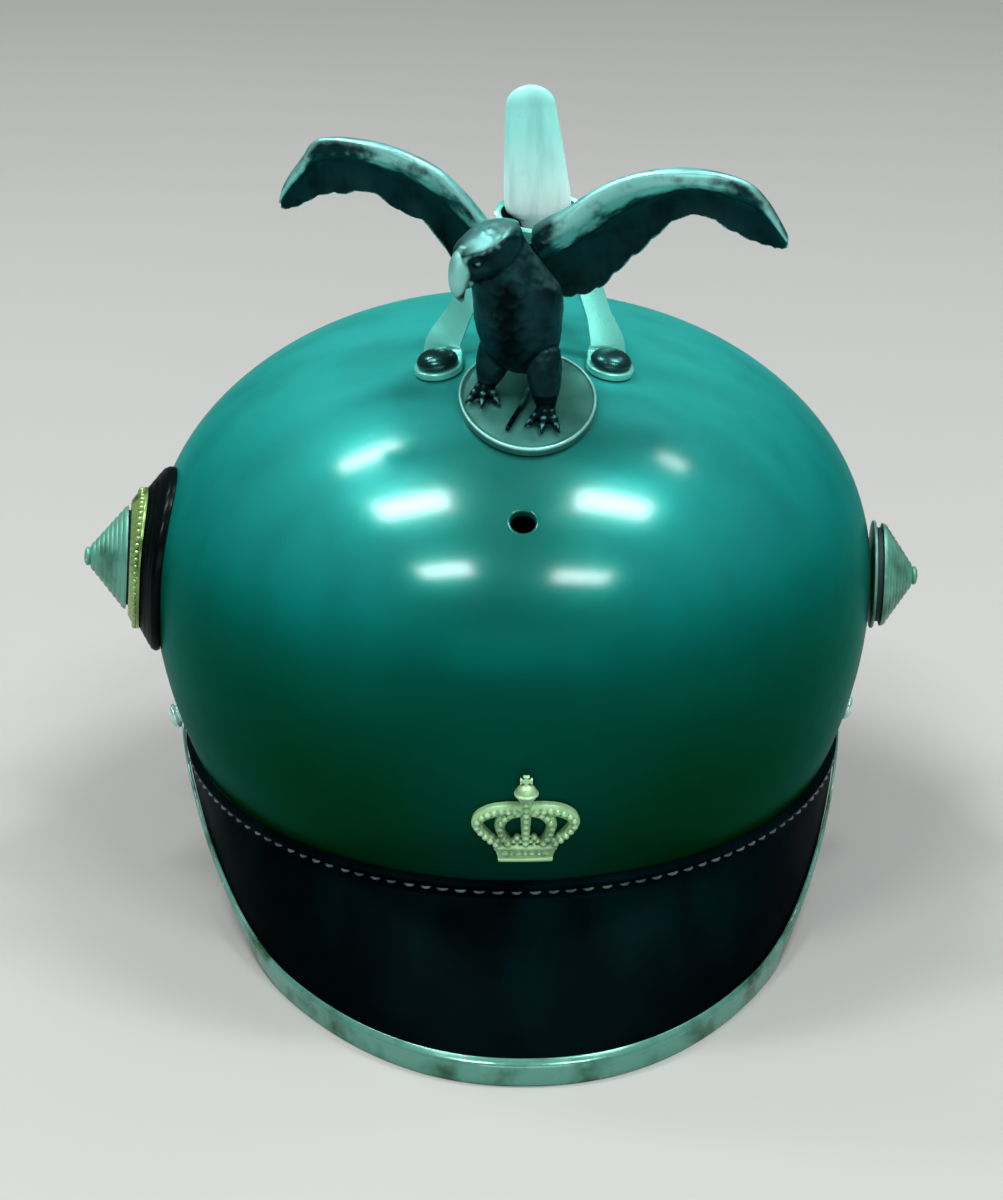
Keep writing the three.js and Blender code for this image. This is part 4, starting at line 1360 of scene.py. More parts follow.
@dataclass
class Peak(Drafted):
    """Leather peak sewn to the skull along its lapped edge."""

    name: str
    node: str
    form: PeakForm
    sections: int = 181
    rows: Row = (0.0, 0.25, 0.38, 0.5, 0.62, 1.0, 1.2, 1.4, 1.6, 1.8, 2.0)
    upper_round: Rows = ((0.0, 0.9), (1.0, 2.4), (2.0, 0.7))
    lower_round: Rows = ((0.0, 0.3), (1.0, 1.4), (2.0, 0.5))
    stitch_pitch: float = 4.7
    stitch_length: float = 2.7
    stitch_radius: float = 0.42
    sewn_to: float = math.radians(80.0)

    def _sheet(self) -> None:
        """Adds the leather with rounded edges."""
        form = self.form
        angle = np.linspace(-form.end_angle, form.end_angle, self.sections)[:, None]
        rows = np.array(self.rows)[None]
        upper = form.upper(angle, rows)
        lower = upper - form.normal(angle, rows) * form.thickness
        if form.level_edge:
            down = upper[:, -1] - upper[:, -2]
            share = (upper[:, -1, 2] - lower[:, -1, 2]) / np.minimum(down[:, 2], -0.25)
            lower[:, -1] += down * share[:, None]
        radii = [dict(self.upper_round).get(r, 0.0) for r in self.rows]
        radii += [dict(self.lower_round).get(r, 0.0) for r in reversed(self.rows)]
        rings = [rounded(np.vstack([u, l[::-1]]), radii) for u, l in zip(upper, lower)]
        self.draft.loft(rings)

    def _stitches(self) -> None:
        """Adds the row of stitches along the lapped edge."""
        form = self.form
        angle = np.linspace(-self.sewn_to, self.sewn_to, 2400)
        line = form.upper(angle, form.sewn_row)
        out = form.normal(angle, form.sewn_row)
        run = run_along(line)
        rng = np.random.default_rng(5)
        share = np.linspace(0, 1, 9)
        lift = 0.5 * np.sin(math.pi * share) ** 0.7 - 0.12
        taper = 0.55 + 0.45 * np.sin(math.pi * share) ** 0.5
        for middle in np.arange(self.stitch_pitch, run[-1] - self.stitch_pitch, self.stitch_pitch):
            middle = middle + rng.uniform(-0.3, 0.3)
            length = self.stitch_length * rng.uniform(0.85, 1.1)
            spots = middle + length * (share - 0.5)
            path = np.stack([np.interp(spots, run, line[:, k]) for k in range(3)], -1)
            away = unit(np.stack([np.interp(spots, run, out[:, k]) for k in range(3)], -1))
            slant = np.cross(away, unit(np.gradient(path, axis=0))) * (0.22 * (share - 0.5))[:, None]
            self.draft.bar(path + slant + away * lift[:, None], self.stitch_radius * taper, 8, mark=1)

    def dress(self) -> None:
        """Builds the peak and gives it its finishes."""
        self._sheet()
        self._stitches()
        piece = make_mesh(self.name, self.draft)
        dress(piece, Slot.PATENT, self.node, [Finish.PATENT, Finish.THREAD], 60.0)


@dataclass
class PeakTrim:
    """Metal binding of the front peak: a lip on top and a drop face outside the edge."""

    lip: float = 1.6
    sheet: float = 0.8
    wall: float = 1.2
    out: float = 1.5
    drop: float = 5.0
    end_drop: float = 1.6
    taper_from: float = math.radians(39.0)
    taper_to: float = math.radians(62.0)
    sections: int = 241
    radii: Row = (0.35, 0.9, 0.6, 0.4, 0.35, 0.2, 0.2, 0.15)

    def dress(self) -> None:
        """Builds the binding and gives it its finish."""
        form = FRONT_PEAK
        angle = np.linspace(-form.end_angle, form.end_angle, self.sections)
        edge = form.upper(angle, 2.0)
        normal = form.normal(angle, 2.0)
        run = unit(edge - form.upper(angle, 1.67))
        level = unit(run * [1, 1, 0])
        taper = smooth_step((np.abs(angle) - self.taper_from) / (self.taper_to - self.taper_from))
        bottom = edge[:, 2] - (self.drop + (self.end_drop - self.drop) * taper)

        def spot(along: float, off: float) -> Array:
            """Points along the blade's run and off its face."""
            return edge + run * along + normal * off

        face = spot(self.out, 0.2)
        foot = np.column_stack([face[:, :2], bottom])
        corners = [
            spot(-self.lip, GAP + self.sheet),
            spot(0.6, GAP + self.sheet),
            face,
            foot,
            foot - level * self.wall,
            spot(GAP + 0.1, GAP - 0.1),
            spot(-0.1, GAP),
            spot(-self.lip, GAP),
        ]
        rings = [rounded(ring, self.radii) for ring in np.stack(corners, 1)]
        draft = Draft()
        draft.loft(rings)
        dress(make_mesh("peak_binding", draft), Slot.NICKEL, "peak_trim", [Finish.TRIM], 50.0)


@dataclass
class CrownBadge(Drafted):
    """Pierced crown with pearled hoops over a moulded band, an orb and a small cross."""

    bottom_z: float = 44.2
    rise: float = 0.966
    depth: float = 2.4
    band_height: float = 5.2
    band_half: Pair = (6.4, 7.8)
    band_profile: Rows = (
        (0, 0), (0, 2.3), (0.3, 3), (1.1, 3), (1.4, 2.2), (3.8, 2.2), (4.1, 3), (4.9, 3), (5.2, 2.3),
        (5.2, 0),
    )
    band_radii: Row = (0, 0.3, 0.3, 0.3, 0.2, 0.2, 0.3, 0.3, 0.3, 0)
    outer_hoop: Rows = (
        (6.2, 4.6), (9.6, 7.6), (11.9, 10.8), (11.2, 13.4), (8.2, 15.3), (4, 16), (0.6, 15.8),
    )
    inner_hoop: Rows = ((3.6, 4.6), (5.8, 8.2), (6.3, 11.6), (4.4, 14.4), (0.6, 15.8))
    middle_hoop: Rows = ((0.0, 4.6), (0.0, 8.0), (0.0, 12.0), (0.0, 16.0), (0.0, 20.2))
    outer_width: Pair = (2.0, 3.5)
    inner_width: Pair = (1.7, 3.1)
    middle_width: Pair = (1.8, 2.8)
    hoop_edge: float = 1.3
    pearl: float = 0.85
    pearl_pitch: float = 1.75
    orb_up: float = 22.0
    orb_radius: float = 2.6
    cross_up: float = 25.5
    cross_arm: Rows = ((0.0, 0.35), (0.8, 0.45), (1.5, 0.85))
    leaf_places: Row = (-9.0, -2.1, 2.1, 9.0)
    leaf: Rows = ((0.0, 2.0, 0.85), (-0.85, 0.95, 0.7), (0.85, 0.95, 0.7), (0.0, 0.2, 0.6))
    grain: float = 0.17

    def _band(self) -> None:
        """Adds the band with its two beads and a row of set stones."""
        profile = rounded(self.band_profile, self.band_radii, 3)
        low, high = self.band_half
        half = low + (high - low) * profile[:, 0] / self.band_height
        share = np.linspace(-1, 1, 41)
        rings = [np.column_stack([t * half, profile]) for t in share]
        self.draft.loft(rings)
        for i, across in enumerate(np.linspace(-5.0, 5.0, 7)):
            wide = (0.95, 0.55)[i % 2]
            self.draft.ball(np.array([across, 2.6, 2.2]), np.diag([wide, 0.62, 0.65]))

    def _hoop(self, marks: Rows, sign: int, width: Pair) -> None:
        """Adds one hoop with pearls along it.

        Args:
            marks: Places across and up that the hoop passes through.
            sign: Side of the crown.
            width: Width of the hoop at its foot and at its top.
        """
        middle = through(marks, 61) * [sign, 1]
        along = unit(np.gradient(middle, axis=0))
        aside = np.column_stack([-along[:, 1], along[:, 0]])
        share = np.linspace(0, 1, len(middle))
        half = 0.5 * (width[0] + (width[1] - width[0]) * smooth_step(share * 1.4))
        turn = np.linspace(0, math.pi, 11)
        edge = np.concatenate([[1.0], np.cos(turn), [-1.0]])
        lift = np.concatenate([[0.0], self.hoop_edge + (self.depth - self.hoop_edge) * np.sin(turn), [0.0]])
        flat = middle[:, None] + aside[:, None] * (half[:, None] * edge)[..., None]
        rings = np.concatenate([flat, np.broadcast_to(lift[:, None], (*flat.shape[:2], 1))], -1)
        self.draft.loft(rings)
        run = run_along(middle)
        for stop in np.arange(1.4, run[-1] - 0.6, self.pearl_pitch):
            spot = [*(np.interp(stop, run, places) for places in middle.T), self.depth - 0.1]
            self.draft.ball(np.array(spot), np.eye(3) * self.pearl)

    def _leaves(self) -> None:
        """Adds small three-lobed leaves on the band between the hoops."""
        for across in self.leaf_places:
            foot = np.sign(across) * min(abs(across), 6.9)
            for aside, up, size in self.leaf:
                lean = (across - foot) * up / 3.0
                spot = np.array([foot + lean + aside, self.band_height + up, 1.1])
                self.draft.ball(spot, np.diag([size, size, 1.2]))

    def _orb_and_cross(self) -> None:
        """Adds the orb with its girdle and the cross that stands on it."""
        centre = np.array([0.0, self.orb_up, self.orb_radius])
        self.draft.ball(centre, np.eye(3) * self.orb_radius, 28, 17)
        ring = wheel(turns(32), np.array([1.0, 0.0, 0.0]), UP) * (self.orb_radius + 0.05)
        for spot in ring:
            self.draft.ball(centre + spot, np.eye(3) * 0.42, 8, 5)
        hub = np.array([0.0, self.cross_up, self.orb_radius])
        for way in ([1, 0], [-1, 0], [0, 1], [0, -1]):
            out = np.array([way[0], way[1], 0.0])
            aside = np.array([-way[1], way[0], 0.0])
            rings = []
            for reach, half in self.cross_arm:
                sides = [(-half, -0.5), (half, -0.5), (half, 0.5), (-half, 0.5)]
                rings.append([hub + out * reach + aside * a + np.array([0, 0, b]) for a, b in sides])
            self.draft.loft(rings)

    def _bent(self, flat: Array) -> Array:
        """Places across, up and off the skull, bent from the flat to its front."""
        z = self.bottom_z + self.rise * flat[:, 1]
        turn = np.arcsin(flat[:, 0] / (FORM.share(z) * FORM.half_width))
        return FORM.point(turn, z, GAP + flat[:, 2])

    def dress(self) -> None:
        """Builds the crown as one casting and gives it its finish."""
        self._band()
        for sign in (-1, 1):
            self._hoop(self.outer_hoop, sign, self.outer_width)
            self._hoop(self.inner_hoop, sign, self.inner_width)
        self._hoop(self.middle_hoop, 1, self.middle_width)
        self._leaves()
        self._orb_and_cross()
        self.draft.bend(self._bent)
        piece = make_mesh("crown_casting", self.draft)
        cast(piece, self.grain, 2)
        mark_relief(piece, 14, 0.21)
        dress(piece, Slot.GILT, "crown_badge", [Finish.GILT], 75.0)


@dataclass
class EaglePlate:
    """Oval plate under the eagle, bent to the dome, with a rounded bead along its edge."""

    across: float = 2.5
    forward: float = 54.0
    half_length: float = 23.0
    half_width: float = 17.7
    sheet: float = 1.6
    bead: float = 2.3
    bead_width: float = 1.0
    bead_foot: float = 1.3
    inner_edge: Rows = ((0.02, -0.12), (0.05, -0.1), (0.13, 0.08))
    raised: Rows = ((1.6, 2.1, 2.65), (0.42, 0.5, 0.95))
    around: int = 144

    def _profile(self) -> Array:
        """Finds the plate's section.

        Returns:
            Share of the oval and height, from the middle of the back to the middle of the face.
        """
        width = self.bead_width / self.half_width
        turn = np.linspace(0, math.pi * 0.86, 12)
        share = 1 - width * (0.5 - 0.5 * np.cos(turn))
        height = self.bead_foot + (self.bead - self.bead_foot) * np.sin(turn)
        inside = share[-1]
        rows = [[0, 0], [0.35, 0], [0.7, 0], [0.985, 0], [1.0, 0.25], *zip(share, height)]
        rows += [[inside - step, self.sheet + rise] for step, rise in self.inner_edge]
        rows += [[s, self.sheet + 0.1] for s in np.linspace(inside - 0.2, 0, 14)]
        return np.array(rows)

    def dress(self) -> None:
        """Builds the plate and gives it its finish."""
        profile = self._profile()
        turn = turns(self.around)
        across = self.across + self.half_width * profile[:, :1] * np.sin(turn)
        forward = self.forward + self.half_length * profile[:, :1] * np.cos(turn)
        draft = Draft()
        draft.grid(FORM.dome(across, forward, GAP + profile[:, 1:]))
        piece = make_mesh("oval_plate", draft)
        self._mark(piece)
        dress(piece, Slot.BRONZE, "eagle_plate", [Finish.PLATE])

    def _mark(self, piece: Piece) -> None:
        """Stores the bead as raised and the field as hollow, by each point's standing.

        Args:
            piece: The plate.
        """
        points, _, _ = mesh_arrays(piece.data)
        own = points / MM - SEAT
        standing = own[:, 2] - FORM.dome(own[:, 0], -own[:, 1])[:, 2]
        store_relief(piece.data, np.interp(standing, *self.raised))


@dataclass(frozen=True)
class Foot:
    """Foot of a bracket strap on the dome, and where the strap meets the funnel."""

    name: str
    across: float
    forward: float
    top: Spot


FEET = (
    Foot("left", -20.1, 36.4, (-3.2, -20.0, 181.0)),
    Foot("right", 24.7, 35.9, (16.0, -22.0, 181.0)),
    Foot("rear", 5.0, -13.0, (7.4, -12.0, 178.0)),
)


@dataclass
class PlumeBracket:
    """Sheet-metal funnel with a slanted mouth, held up by three straps with round feet."""

    across: float = 7.4
    forward: float = 18.0
    base_z: float = 166.0
    base_half: Pair = (5.5, 4.6)
    mouth_half: Pair = (12.2, 8.2)
    front_z: float = 183.0
    back_z: float = 190.5
    sheet: float = 1.5
    around: int = 80
    strap_width: float = 6.8
    strap_lean: float = 0.014
    foot_radius: float = 6.4
    foot_sheet: float = 1.8
    flare: float = 1.15
    screw: Rows = ((0.0, 0.0), (5.5, 0.0), (5.5, 0.7), (4.7, 1.9), (2.9, 2.75), (0.0, 3.05))
    screw_radii: Row = (0, 0.15, 0.35, 0.9, 1.2, 0)

    def _wall(self, shrink: float, share: Array) -> Array:
        """Rings of the funnel.

        Args:
            shrink: How far they are drawn in.
            share: Shares of the funnel's height.

        Returns:
            The points by ring.
        """
        turn = turns(self.around)
        half_x, half_y = self._halves(share, shrink)
        x = self.across + half_x[:, None] * np.cos(turn)
        y = -self.forward + half_y[:, None] * np.sin(turn)
        return np.stack([x, y, self.base_z + (self._mouth(y) - self.base_z) * share[:, None]], -1)

    def _halves(self, share: Array, shrink: float) -> list[Array]:
        """Half width and half depth of the funnel at shares of its height, drawn in by shrink."""
        pairs = zip(self.base_half, self.mouth_half)
        return [low + (high - low) * share**self.flare - shrink for low, high in pairs]

    def _mouth(self, y: Array) -> Array:
        """Height of the slanted mouth at places from front to back."""
        back = 0.5 + (y + self.forward) / (2 * self.mouth_half[1])
        return self.front_z + (self.back_z - self.front_z) * back

    def _funnel(self) -> Piece:
        """Makes the funnel with a rolled rim and a closed bottom.

        Returns:
            The funnel.
        """
        outer = self._wall(0.0, np.linspace(0, 1, 16))
        inner = self._wall(self.sheet, np.linspace(1, 0.12, 15))
        lip = 0.5 * (outer[-1] + inner[0]) + UP * 0.75
        bulge = [outer[-1] + UP * 0.4, lip, inner[0] + UP * 0.4]
        rings = np.concatenate([outer, np.stack(bulge), inner])
        draft = Draft()
        draft.loft(rings)
        return make_mesh("plume_funnel", draft)

    def _strap(self, foot: Foot) -> tuple[Piece, Piece]:
        """Makes a strap and its round foot.

        Args:
            foot: Where the strap stands and ends.

        Returns:
            The strap and the foot.
        """
        base = FORM.dome(foot.across, foot.forward, GAP)
        normal = FORM.normal(FORM.dome(foot.across, foot.forward))
        radius, sheet = self.foot_radius, self.foot_sheet
        corners = np.array([[0, 0], [radius, 0], [radius, sheet], [0, sheet]])
        disc = Draft()
        disc.turned(rounded(corners, [0, 0.3, 0.45, 0], 4, joined=False), base, normal, 56)
        top = np.array(foot.top)
        lean = self.strap_lean * (foot.top[0] - foot.across)
        flat_way = np.array([lean, math.copysign(1.0, foot.forward), 0.0])
        flat_way = unit(flat_way - normal * (flat_way @ normal))
        lay = base + normal * (sheet / 2)
        marks = [
            lay,
            lay + flat_way * (radius + 0.6) + normal * 0.5,
            lay + flat_way * (radius + 1.6) + normal * 3,
            top,
        ]
        path = rounded(marks, [0, 1.4, 2.2, 0], 6, joined=False)
        path = np.vstack([path[:-1], np.linspace(path[-2], path[-1], 16)[1:]])
        facing = -flat_way + normal * 0.6
        along = unit(np.gradient(path, axis=0))
        across = unit(np.cross(along, facing))
        out = np.cross(across, along)
        run = run_along(path)
        narrow = self.strap_width / 2
        half_w = np.interp(run / run[-1], [0.0, 0.16, 0.45, 1.0], [radius, radius - 1.1, narrow, narrow])
        half_t = self.sheet / 2
        rings = []
        for spot, wide, aside, away in zip(path, half_w, across, out):
            corners = [[-wide, -half_t], [wide, -half_t], [wide, half_t], [-wide, half_t]]
            section = rounded(corners, [0.35] * 4, 3)
            rings.append(spot + section[:, :1] * aside + section[:, 1:] * away)
        band = Draft()
        band.loft(rings)
        return make_mesh("strap_" + foot.name, band), make_mesh("foot_" + foot.name, disc)

    def _paint_inside_shade(self, mesh: bpy.types.Mesh) -> None:
        """Gives the faces inside the funnel the painted shade finish.

        Args:
            mesh: Mesh of the whole bracket.
        """
        middles = np.empty(len(mesh.polygons) * 3)
        mesh.polygons.foreach_get("center", middles)
        x, y, z = (middles.reshape(-1, 3) / MM - SEAT).T
        top = self._mouth(y)
        share = np.clip((z - self.base_z) / (top - self.base_z), 0, 1)
        half_x, half_y = self._halves(share, 0.6 * self.sheet)
        inside = ((x - self.across) / half_x) ** 2 + ((y + self.forward) / half_y) ** 2 < 1
        inside &= (z > self.base_z + 0.5) & (z < top + 0.2)
        mesh.polygons.foreach_set("material_index", inside.astype(np.int32))

    def _screw(self, foot: Foot) -> None:
        """Makes the domed screw on a foot.

        Args:
            foot: The foot.
        """
        normal = FORM.normal(FORM.dome(foot.across, foot.forward))
        base = FORM.dome(foot.across, foot.forward, 2 * GAP + self.foot_sheet + 0.4)
        draft = Draft()
        draft.turned(rounded(self.screw, self.screw_radii, 5, joined=False), base, normal, 48)
        piece = make_mesh("domed_screw_" + foot.name, draft)
        dress(piece, Slot.BRONZE, "bracket_screw_" + foot.name, [Finish.SCREW])

    def dress(self) -> None:
        """Builds the bracket and its screws and gives them their finishes."""
        parts = [self._funnel()]
        for foot in FEET:
            parts.extend(self._strap(foot))
        piece = fuse(parts)
        piece.name = "plume_socket"
        dress(piece, Slot.NICKEL, "plume_bracket", [Finish.NICKEL, Finish.PAINTED_SHADE], 32.0)
        self._paint_inside_shade(piece.data)
        for foot in FEET:
            self._screw(foot)


@dataclass
class PlumeHolder:
    """Upright metal tongue that stands in the funnel and narrows to a rounded top."""

    rows: Rows = (
        (167.9, 18, 7.4, 3, 1.9), (176, 17.3, 7.1, 4, 2.1), (183.5, 16.7, 6.9, 4.8, 2.3),
        (185.6, 16.4, 6.7, 6.9, 2.6), (187, 16.2, 6.6, 8.4, 2.85), (190, 16, 6.5, 8.9, 2.9),
        (197, 15.7, 6, 8.4, 2.7), (205, 15.5, 5.45, 7.7, 2.45), (215, 15.2, 4.7, 6.6, 2.1),
    )
    round_top: float = 5.5
    sides: int = 64
    squareness: float = 2.5
    fold: float = 0.3
    fold_place: float = 0.12
    fold_width: float = 0.13
    fold_top: float = 213.0
    fold_fade: float = 18.0

    def _ring(self, row: Array, share: float) -> Array:
        """One section of the tongue.

        Args:
            row: Height, forward, across, half width and half depth.
            share: Share of the width that is left.

        Returns:
            The points of the section.
        """
        z, forward, across, half, depth = row
        turn = turns(self.sides)
        power = 2 / self.squareness
        x = np.sign(np.cos(turn)) * np.abs(np.cos(turn)) ** power
        y = np.sign(np.sin(turn)) * np.abs(np.sin(turn)) ** power
        crease = self.fold * bell(x, self.fold_place, self.fold_width) * (y < 0)
        crease = crease * np.clip((self.fold_top - z) / self.fold_fade, 0, 1) * share
        back = -forward + depth * math.sqrt(share) * y + crease
        return np.stack([across + half * share * x, back, z + 0 * x], -1)

    def dress(self) -> None:
        """Builds the tongue and gives it its finish."""
        rows = through(self.rows, 97)
        rings = [self._ring(row, 1.0) for row in rows]
        for turn in np.radians(np.linspace(6, 88, 14)):
            row = rows[-1].copy()
            row[0] += self.round_top * math.sin(turn)
            rings.append(self._ring(row, math.cos(turn)))
        draft = Draft()
        draft.loft(rings)
        dress(make_mesh("plume_tongue", draft), Slot.NICKEL, "plume_holder", [Finish.TONGUE], 60.0)


@dataclass
class SideRosette:
    """Stepped metal cone with fine rounded ridges, a grooved base and a knob at its tip."""

    forward: float = 10.0
    left_z: float = 88.0
    right_z: float = 81.0
    rim_radius: float = 15.0
    cone_radius: float = 14.2
    neck_radius: float = 2.8
    left_base: float = 1.6
    right_base: float = 3.4
    neck_height: float = 11.2
    groove: float = 1.9
    ridges: int = 8
    ridge_bulge: float = 0.26
    tip: Rows = ((2.3, 11.35), (2.6, 11.9), (2.3, 12.5), (1.2, 12.92), (0.0, 13.0))
    segments: int = 96

    def seat(self, side: Side) -> tuple[Array, Array]:
        """Place and outward direction of a side's rosette."""
        return FORM.seat(side, self.forward, self.left_z if side is Side.LEFT else self.right_z)

    def _base(self, base: float) -> tuple[Array, Array]:
        """Finds the section of the base.

        Args:
            base: Height of the base.

        Returns:
            Radius and height of the flat rim, and of the groove between it and the cone.
        """
        rim, bed = self.rim_radius, self.rim_radius - self.groove
        flat = np.array([[0, 0], [rim, 0], [rim, 0.25 * base], [bed, 0.3 * base]])
        groove = np.array([[bed, 0.3 * base], [bed, 0.72 * base], [self.cone_radius + 0.15, 0.8 * base]])
        return rounded(flat, [0, 0.25, 0.35, 0], 4, joined=False), groove

    def _cone(self, base: float) -> Array:
        """Finds the section of the ridged cone and its knob.

        Args:
            base: Height of the base.

        Returns:
            Radius and height, from the base to the tip.
        """
        rows = [[[self.cone_radius + 0.15, 0.8 * base]]]
        share = np.linspace(0, 1, self.ridges * 9 + 1)
        radius = self.cone_radius + (self.neck_radius - self.cone_radius) * share
        height = base + (self.neck_height - base) * share
        way = unit(np.array([self.neck_height - base, self.cone_radius - self.neck_radius]))
        bulge = self.ridge_bulge * np.abs(np.sin(math.pi * self.ridges * share)) ** 0.75
        rows.append(np.column_stack([radius + bulge * way[0], height + bulge * way[1]]))
        rows.append(through(self.tip, 24))
        return np.vstack(rows)

    def dress(self, side: Side, lift: float) -> None:
        """Builds the rosette of a side and gives it its finish.

        Args:
            side: Side of the helmet.
            lift: Height of its foot off the skull.
        """
        seat, normal = self.seat(side)
        base = self.left_base if side is Side.LEFT else self.right_base
        draft = Draft()
        # the groove between rim and cone takes the painted shade finish
        for mark, profile in zip((0, 1, 0), (*self._base(base), self._cone(base))):
            draft.turned(profile, seat + normal * lift, normal, self.segments, mark)
        name = side.name.lower()
        piece = make_mesh("stepped_cone_" + name, draft)
        finishes = [Finish.ROSETTE, Finish.PAINTED_SHADE]
        dress(piece, Slot.NICKEL, "rosette_" + name, finishes, 50.0)


@dataclass
class Cockade:
    """Dished black leather disc under the left rosette, with a beaded metal ring on its face."""

    rosette: SideRosette
    side: Side = Side.LEFT
    radius: float = 25.5
    top_radius: float = 15.2
    height: float = 5.0
    edge: float = 2.2
    ring_inner: float = 15.6
    ring_outer: float = 19.6
    ring_sheet: float = 1.0
    beads: int = 60
    bead_radius: float = 0.85
    around: int = 120

    def _spread(self, turn: Array, radius: Real) -> tuple[Array, Array, Array, Array]:
        """Spreads places over the disc's level plane.

        Args:
            turn: Angles round the disc.
            radius: Distances from its middle.

        Returns:
            The places, their directions from the middle, and the disc's seat and axis.
        """
        seat, normal = self.rosette.seat(self.side)
        ring = wheel(turn, *square_to(normal))
        return seat + np.asarray(radius)[..., None] * ring, ring, seat, normal

    def _on_skull(self, p: Array) -> Array:
        """Points moved across onto the skull's face."""
        reach = np.sqrt(np.clip(FORM.share(p[..., 2]) ** 2 - (p[..., 1] / FORM.half_length) ** 2, 0, 1))
        return np.stack([self.side.value * FORM.half_width * reach, p[..., 1], p[..., 2]], -1)

    def face(self, turn: Array, radius: Real, lift: Real) -> Array:
        """Points over the dished face.

        Args:
            turn: Angles round the disc.
            radius: Distances from its middle.
            lift: Height over the face.

        Returns:
            The points.
        """
        place, ring, seat, normal = self._spread(turn, radius)
        rim = self._on_skull(seat + self.radius * ring)
        rim_height = (rim - seat) @ normal + GAP + self.edge
        share = np.clip((radius - self.top_radius) / (self.radius - self.top_radius), 0, None)
        level = (GAP + self.height) * (1 - share) + rim_height * share
        return place + normal * (level + lift)[..., None]

    def back(self, turn: Array, radius: Real) -> Array:
        """Points of the back, bent to the skull."""
        place = self._on_skull(self._spread(turn, radius)[0])
        return place + FORM.normal(place) * GAP

    def _disc(self) -> None:
        """Makes the black disc with shallow rings pressed into its rim."""
        turn = turns(self.around)
        rows = [self.back(turn, r) for r in np.linspace(0.01, self.radius - 0.4, 12)]
        edge = self.face(turn, self.radius, -self.edge * 0.55)
        rows.append(edge)
        for radius in np.linspace(self.radius, self.top_radius, 40):
            pressed = 0.05 * math.cos((radius - self.ring_outer) * math.tau / 1.9)
            fade = smooth_step((radius - self.ring_outer) / 0.6) * smooth_step((self.radius - radius) / 0.7)
            round_off = -0.7 * smooth_step((radius - self.radius + 0.8) / 0.8) ** 2
            rows.append(self.face(turn, radius, pressed * fade + round_off))
        rows.append(self.face(turn, 0.01, 0.0))
        draft = Draft()
        draft.loft(rows)
        dress(make_mesh("cockade_disc", draft), Slot.BLACK, "cockade", [Finish.BLACK], 60.0)

    def _ring(self) -> None:
        """Makes the metal ring with its beaded outer edge and fluted face."""
        turn = turns(self.beads * 6)
        inner, outer, top = self.ring_inner, self.ring_outer, GAP + self.ring_sheet
        corners = [[inner, GAP], [outer, GAP], [outer, GAP + 0.7], [outer - 1.9, top], [inner, top]]
        section = rounded(corners, [0.1, 0.1, 0.3, 0.3, 0.35], 3)
        rows = []
        for radius, lift in section:
            inside = float(smooth_step((radius - inner) / 1.2) * smooth_step((outer - 1.6 - radius) / 0.8))
            flute = 0.16 * np.cos(turn * self.beads) * inside * (lift > GAP + 0.4)
            rows.append(self.face(turn, radius, lift + flute))
        draft = Draft()
        draft.grid(np.array([*rows, rows[0]]))
        for spot in turns(self.beads):
            centre = self.face(np.array([spot]), np.array([outer - 0.85]), GAP + 0.75)[0]
            draft.ball(centre, np.eye(3) * self.bead_radius, 12, 7)
        dress(make_mesh("beaded_ring", draft), Slot.GILT, "cockade_ring", [Finish.RING])

    def dress(self) -> None:
        """Builds the disc and the ring."""
        self._disc()
        self._ring()

    def lift_of(self, side: Side) -> float:
        """Height of a side's rosette off the skull."""
        return 2 * GAP + self.height if side is self.side else GAP


@dataclass
class SideStud:
    """Turned metal knob low on each side."""

    forward: float = 8.0
    z: float = 41.0
    profile: Rows = (
        (0, 0), (4, 0), (4, 0.7), (2.7, 1.1), (2.6, 1.6), (3.5, 2), (3.4, 3.1), (2, 4.1), (0, 4.3),
    )
    radii: Row = (0, 0.2, 0.3, 0.3, 0.3, 0.5, 0.9, 1.1, 0)

    def dress(self, side: Side) -> None:
        """Builds the knob of a side and gives it its finish.

        Args:
            side: Side of the helmet.
        """
        seat, normal = FORM.seat(side, self.forward, self.z)
        draft = Draft()
        profile = rounded(self.profile, self.radii, 5, joined=False)
        draft.turned(profile, seat + normal * GAP, normal, 48)
        name = side.name.lower()
        dress(make_mesh("side_knob_" + name, draft), Slot.NICKEL, "side_stud_" + name, [Finish.STUD])


@dataclass(frozen=True)
class Leg:
    """Hip of an eagle's leg in the eagle's own frame, and its foot in plan on the dome."""

    hip: Spot
    foot: Pair


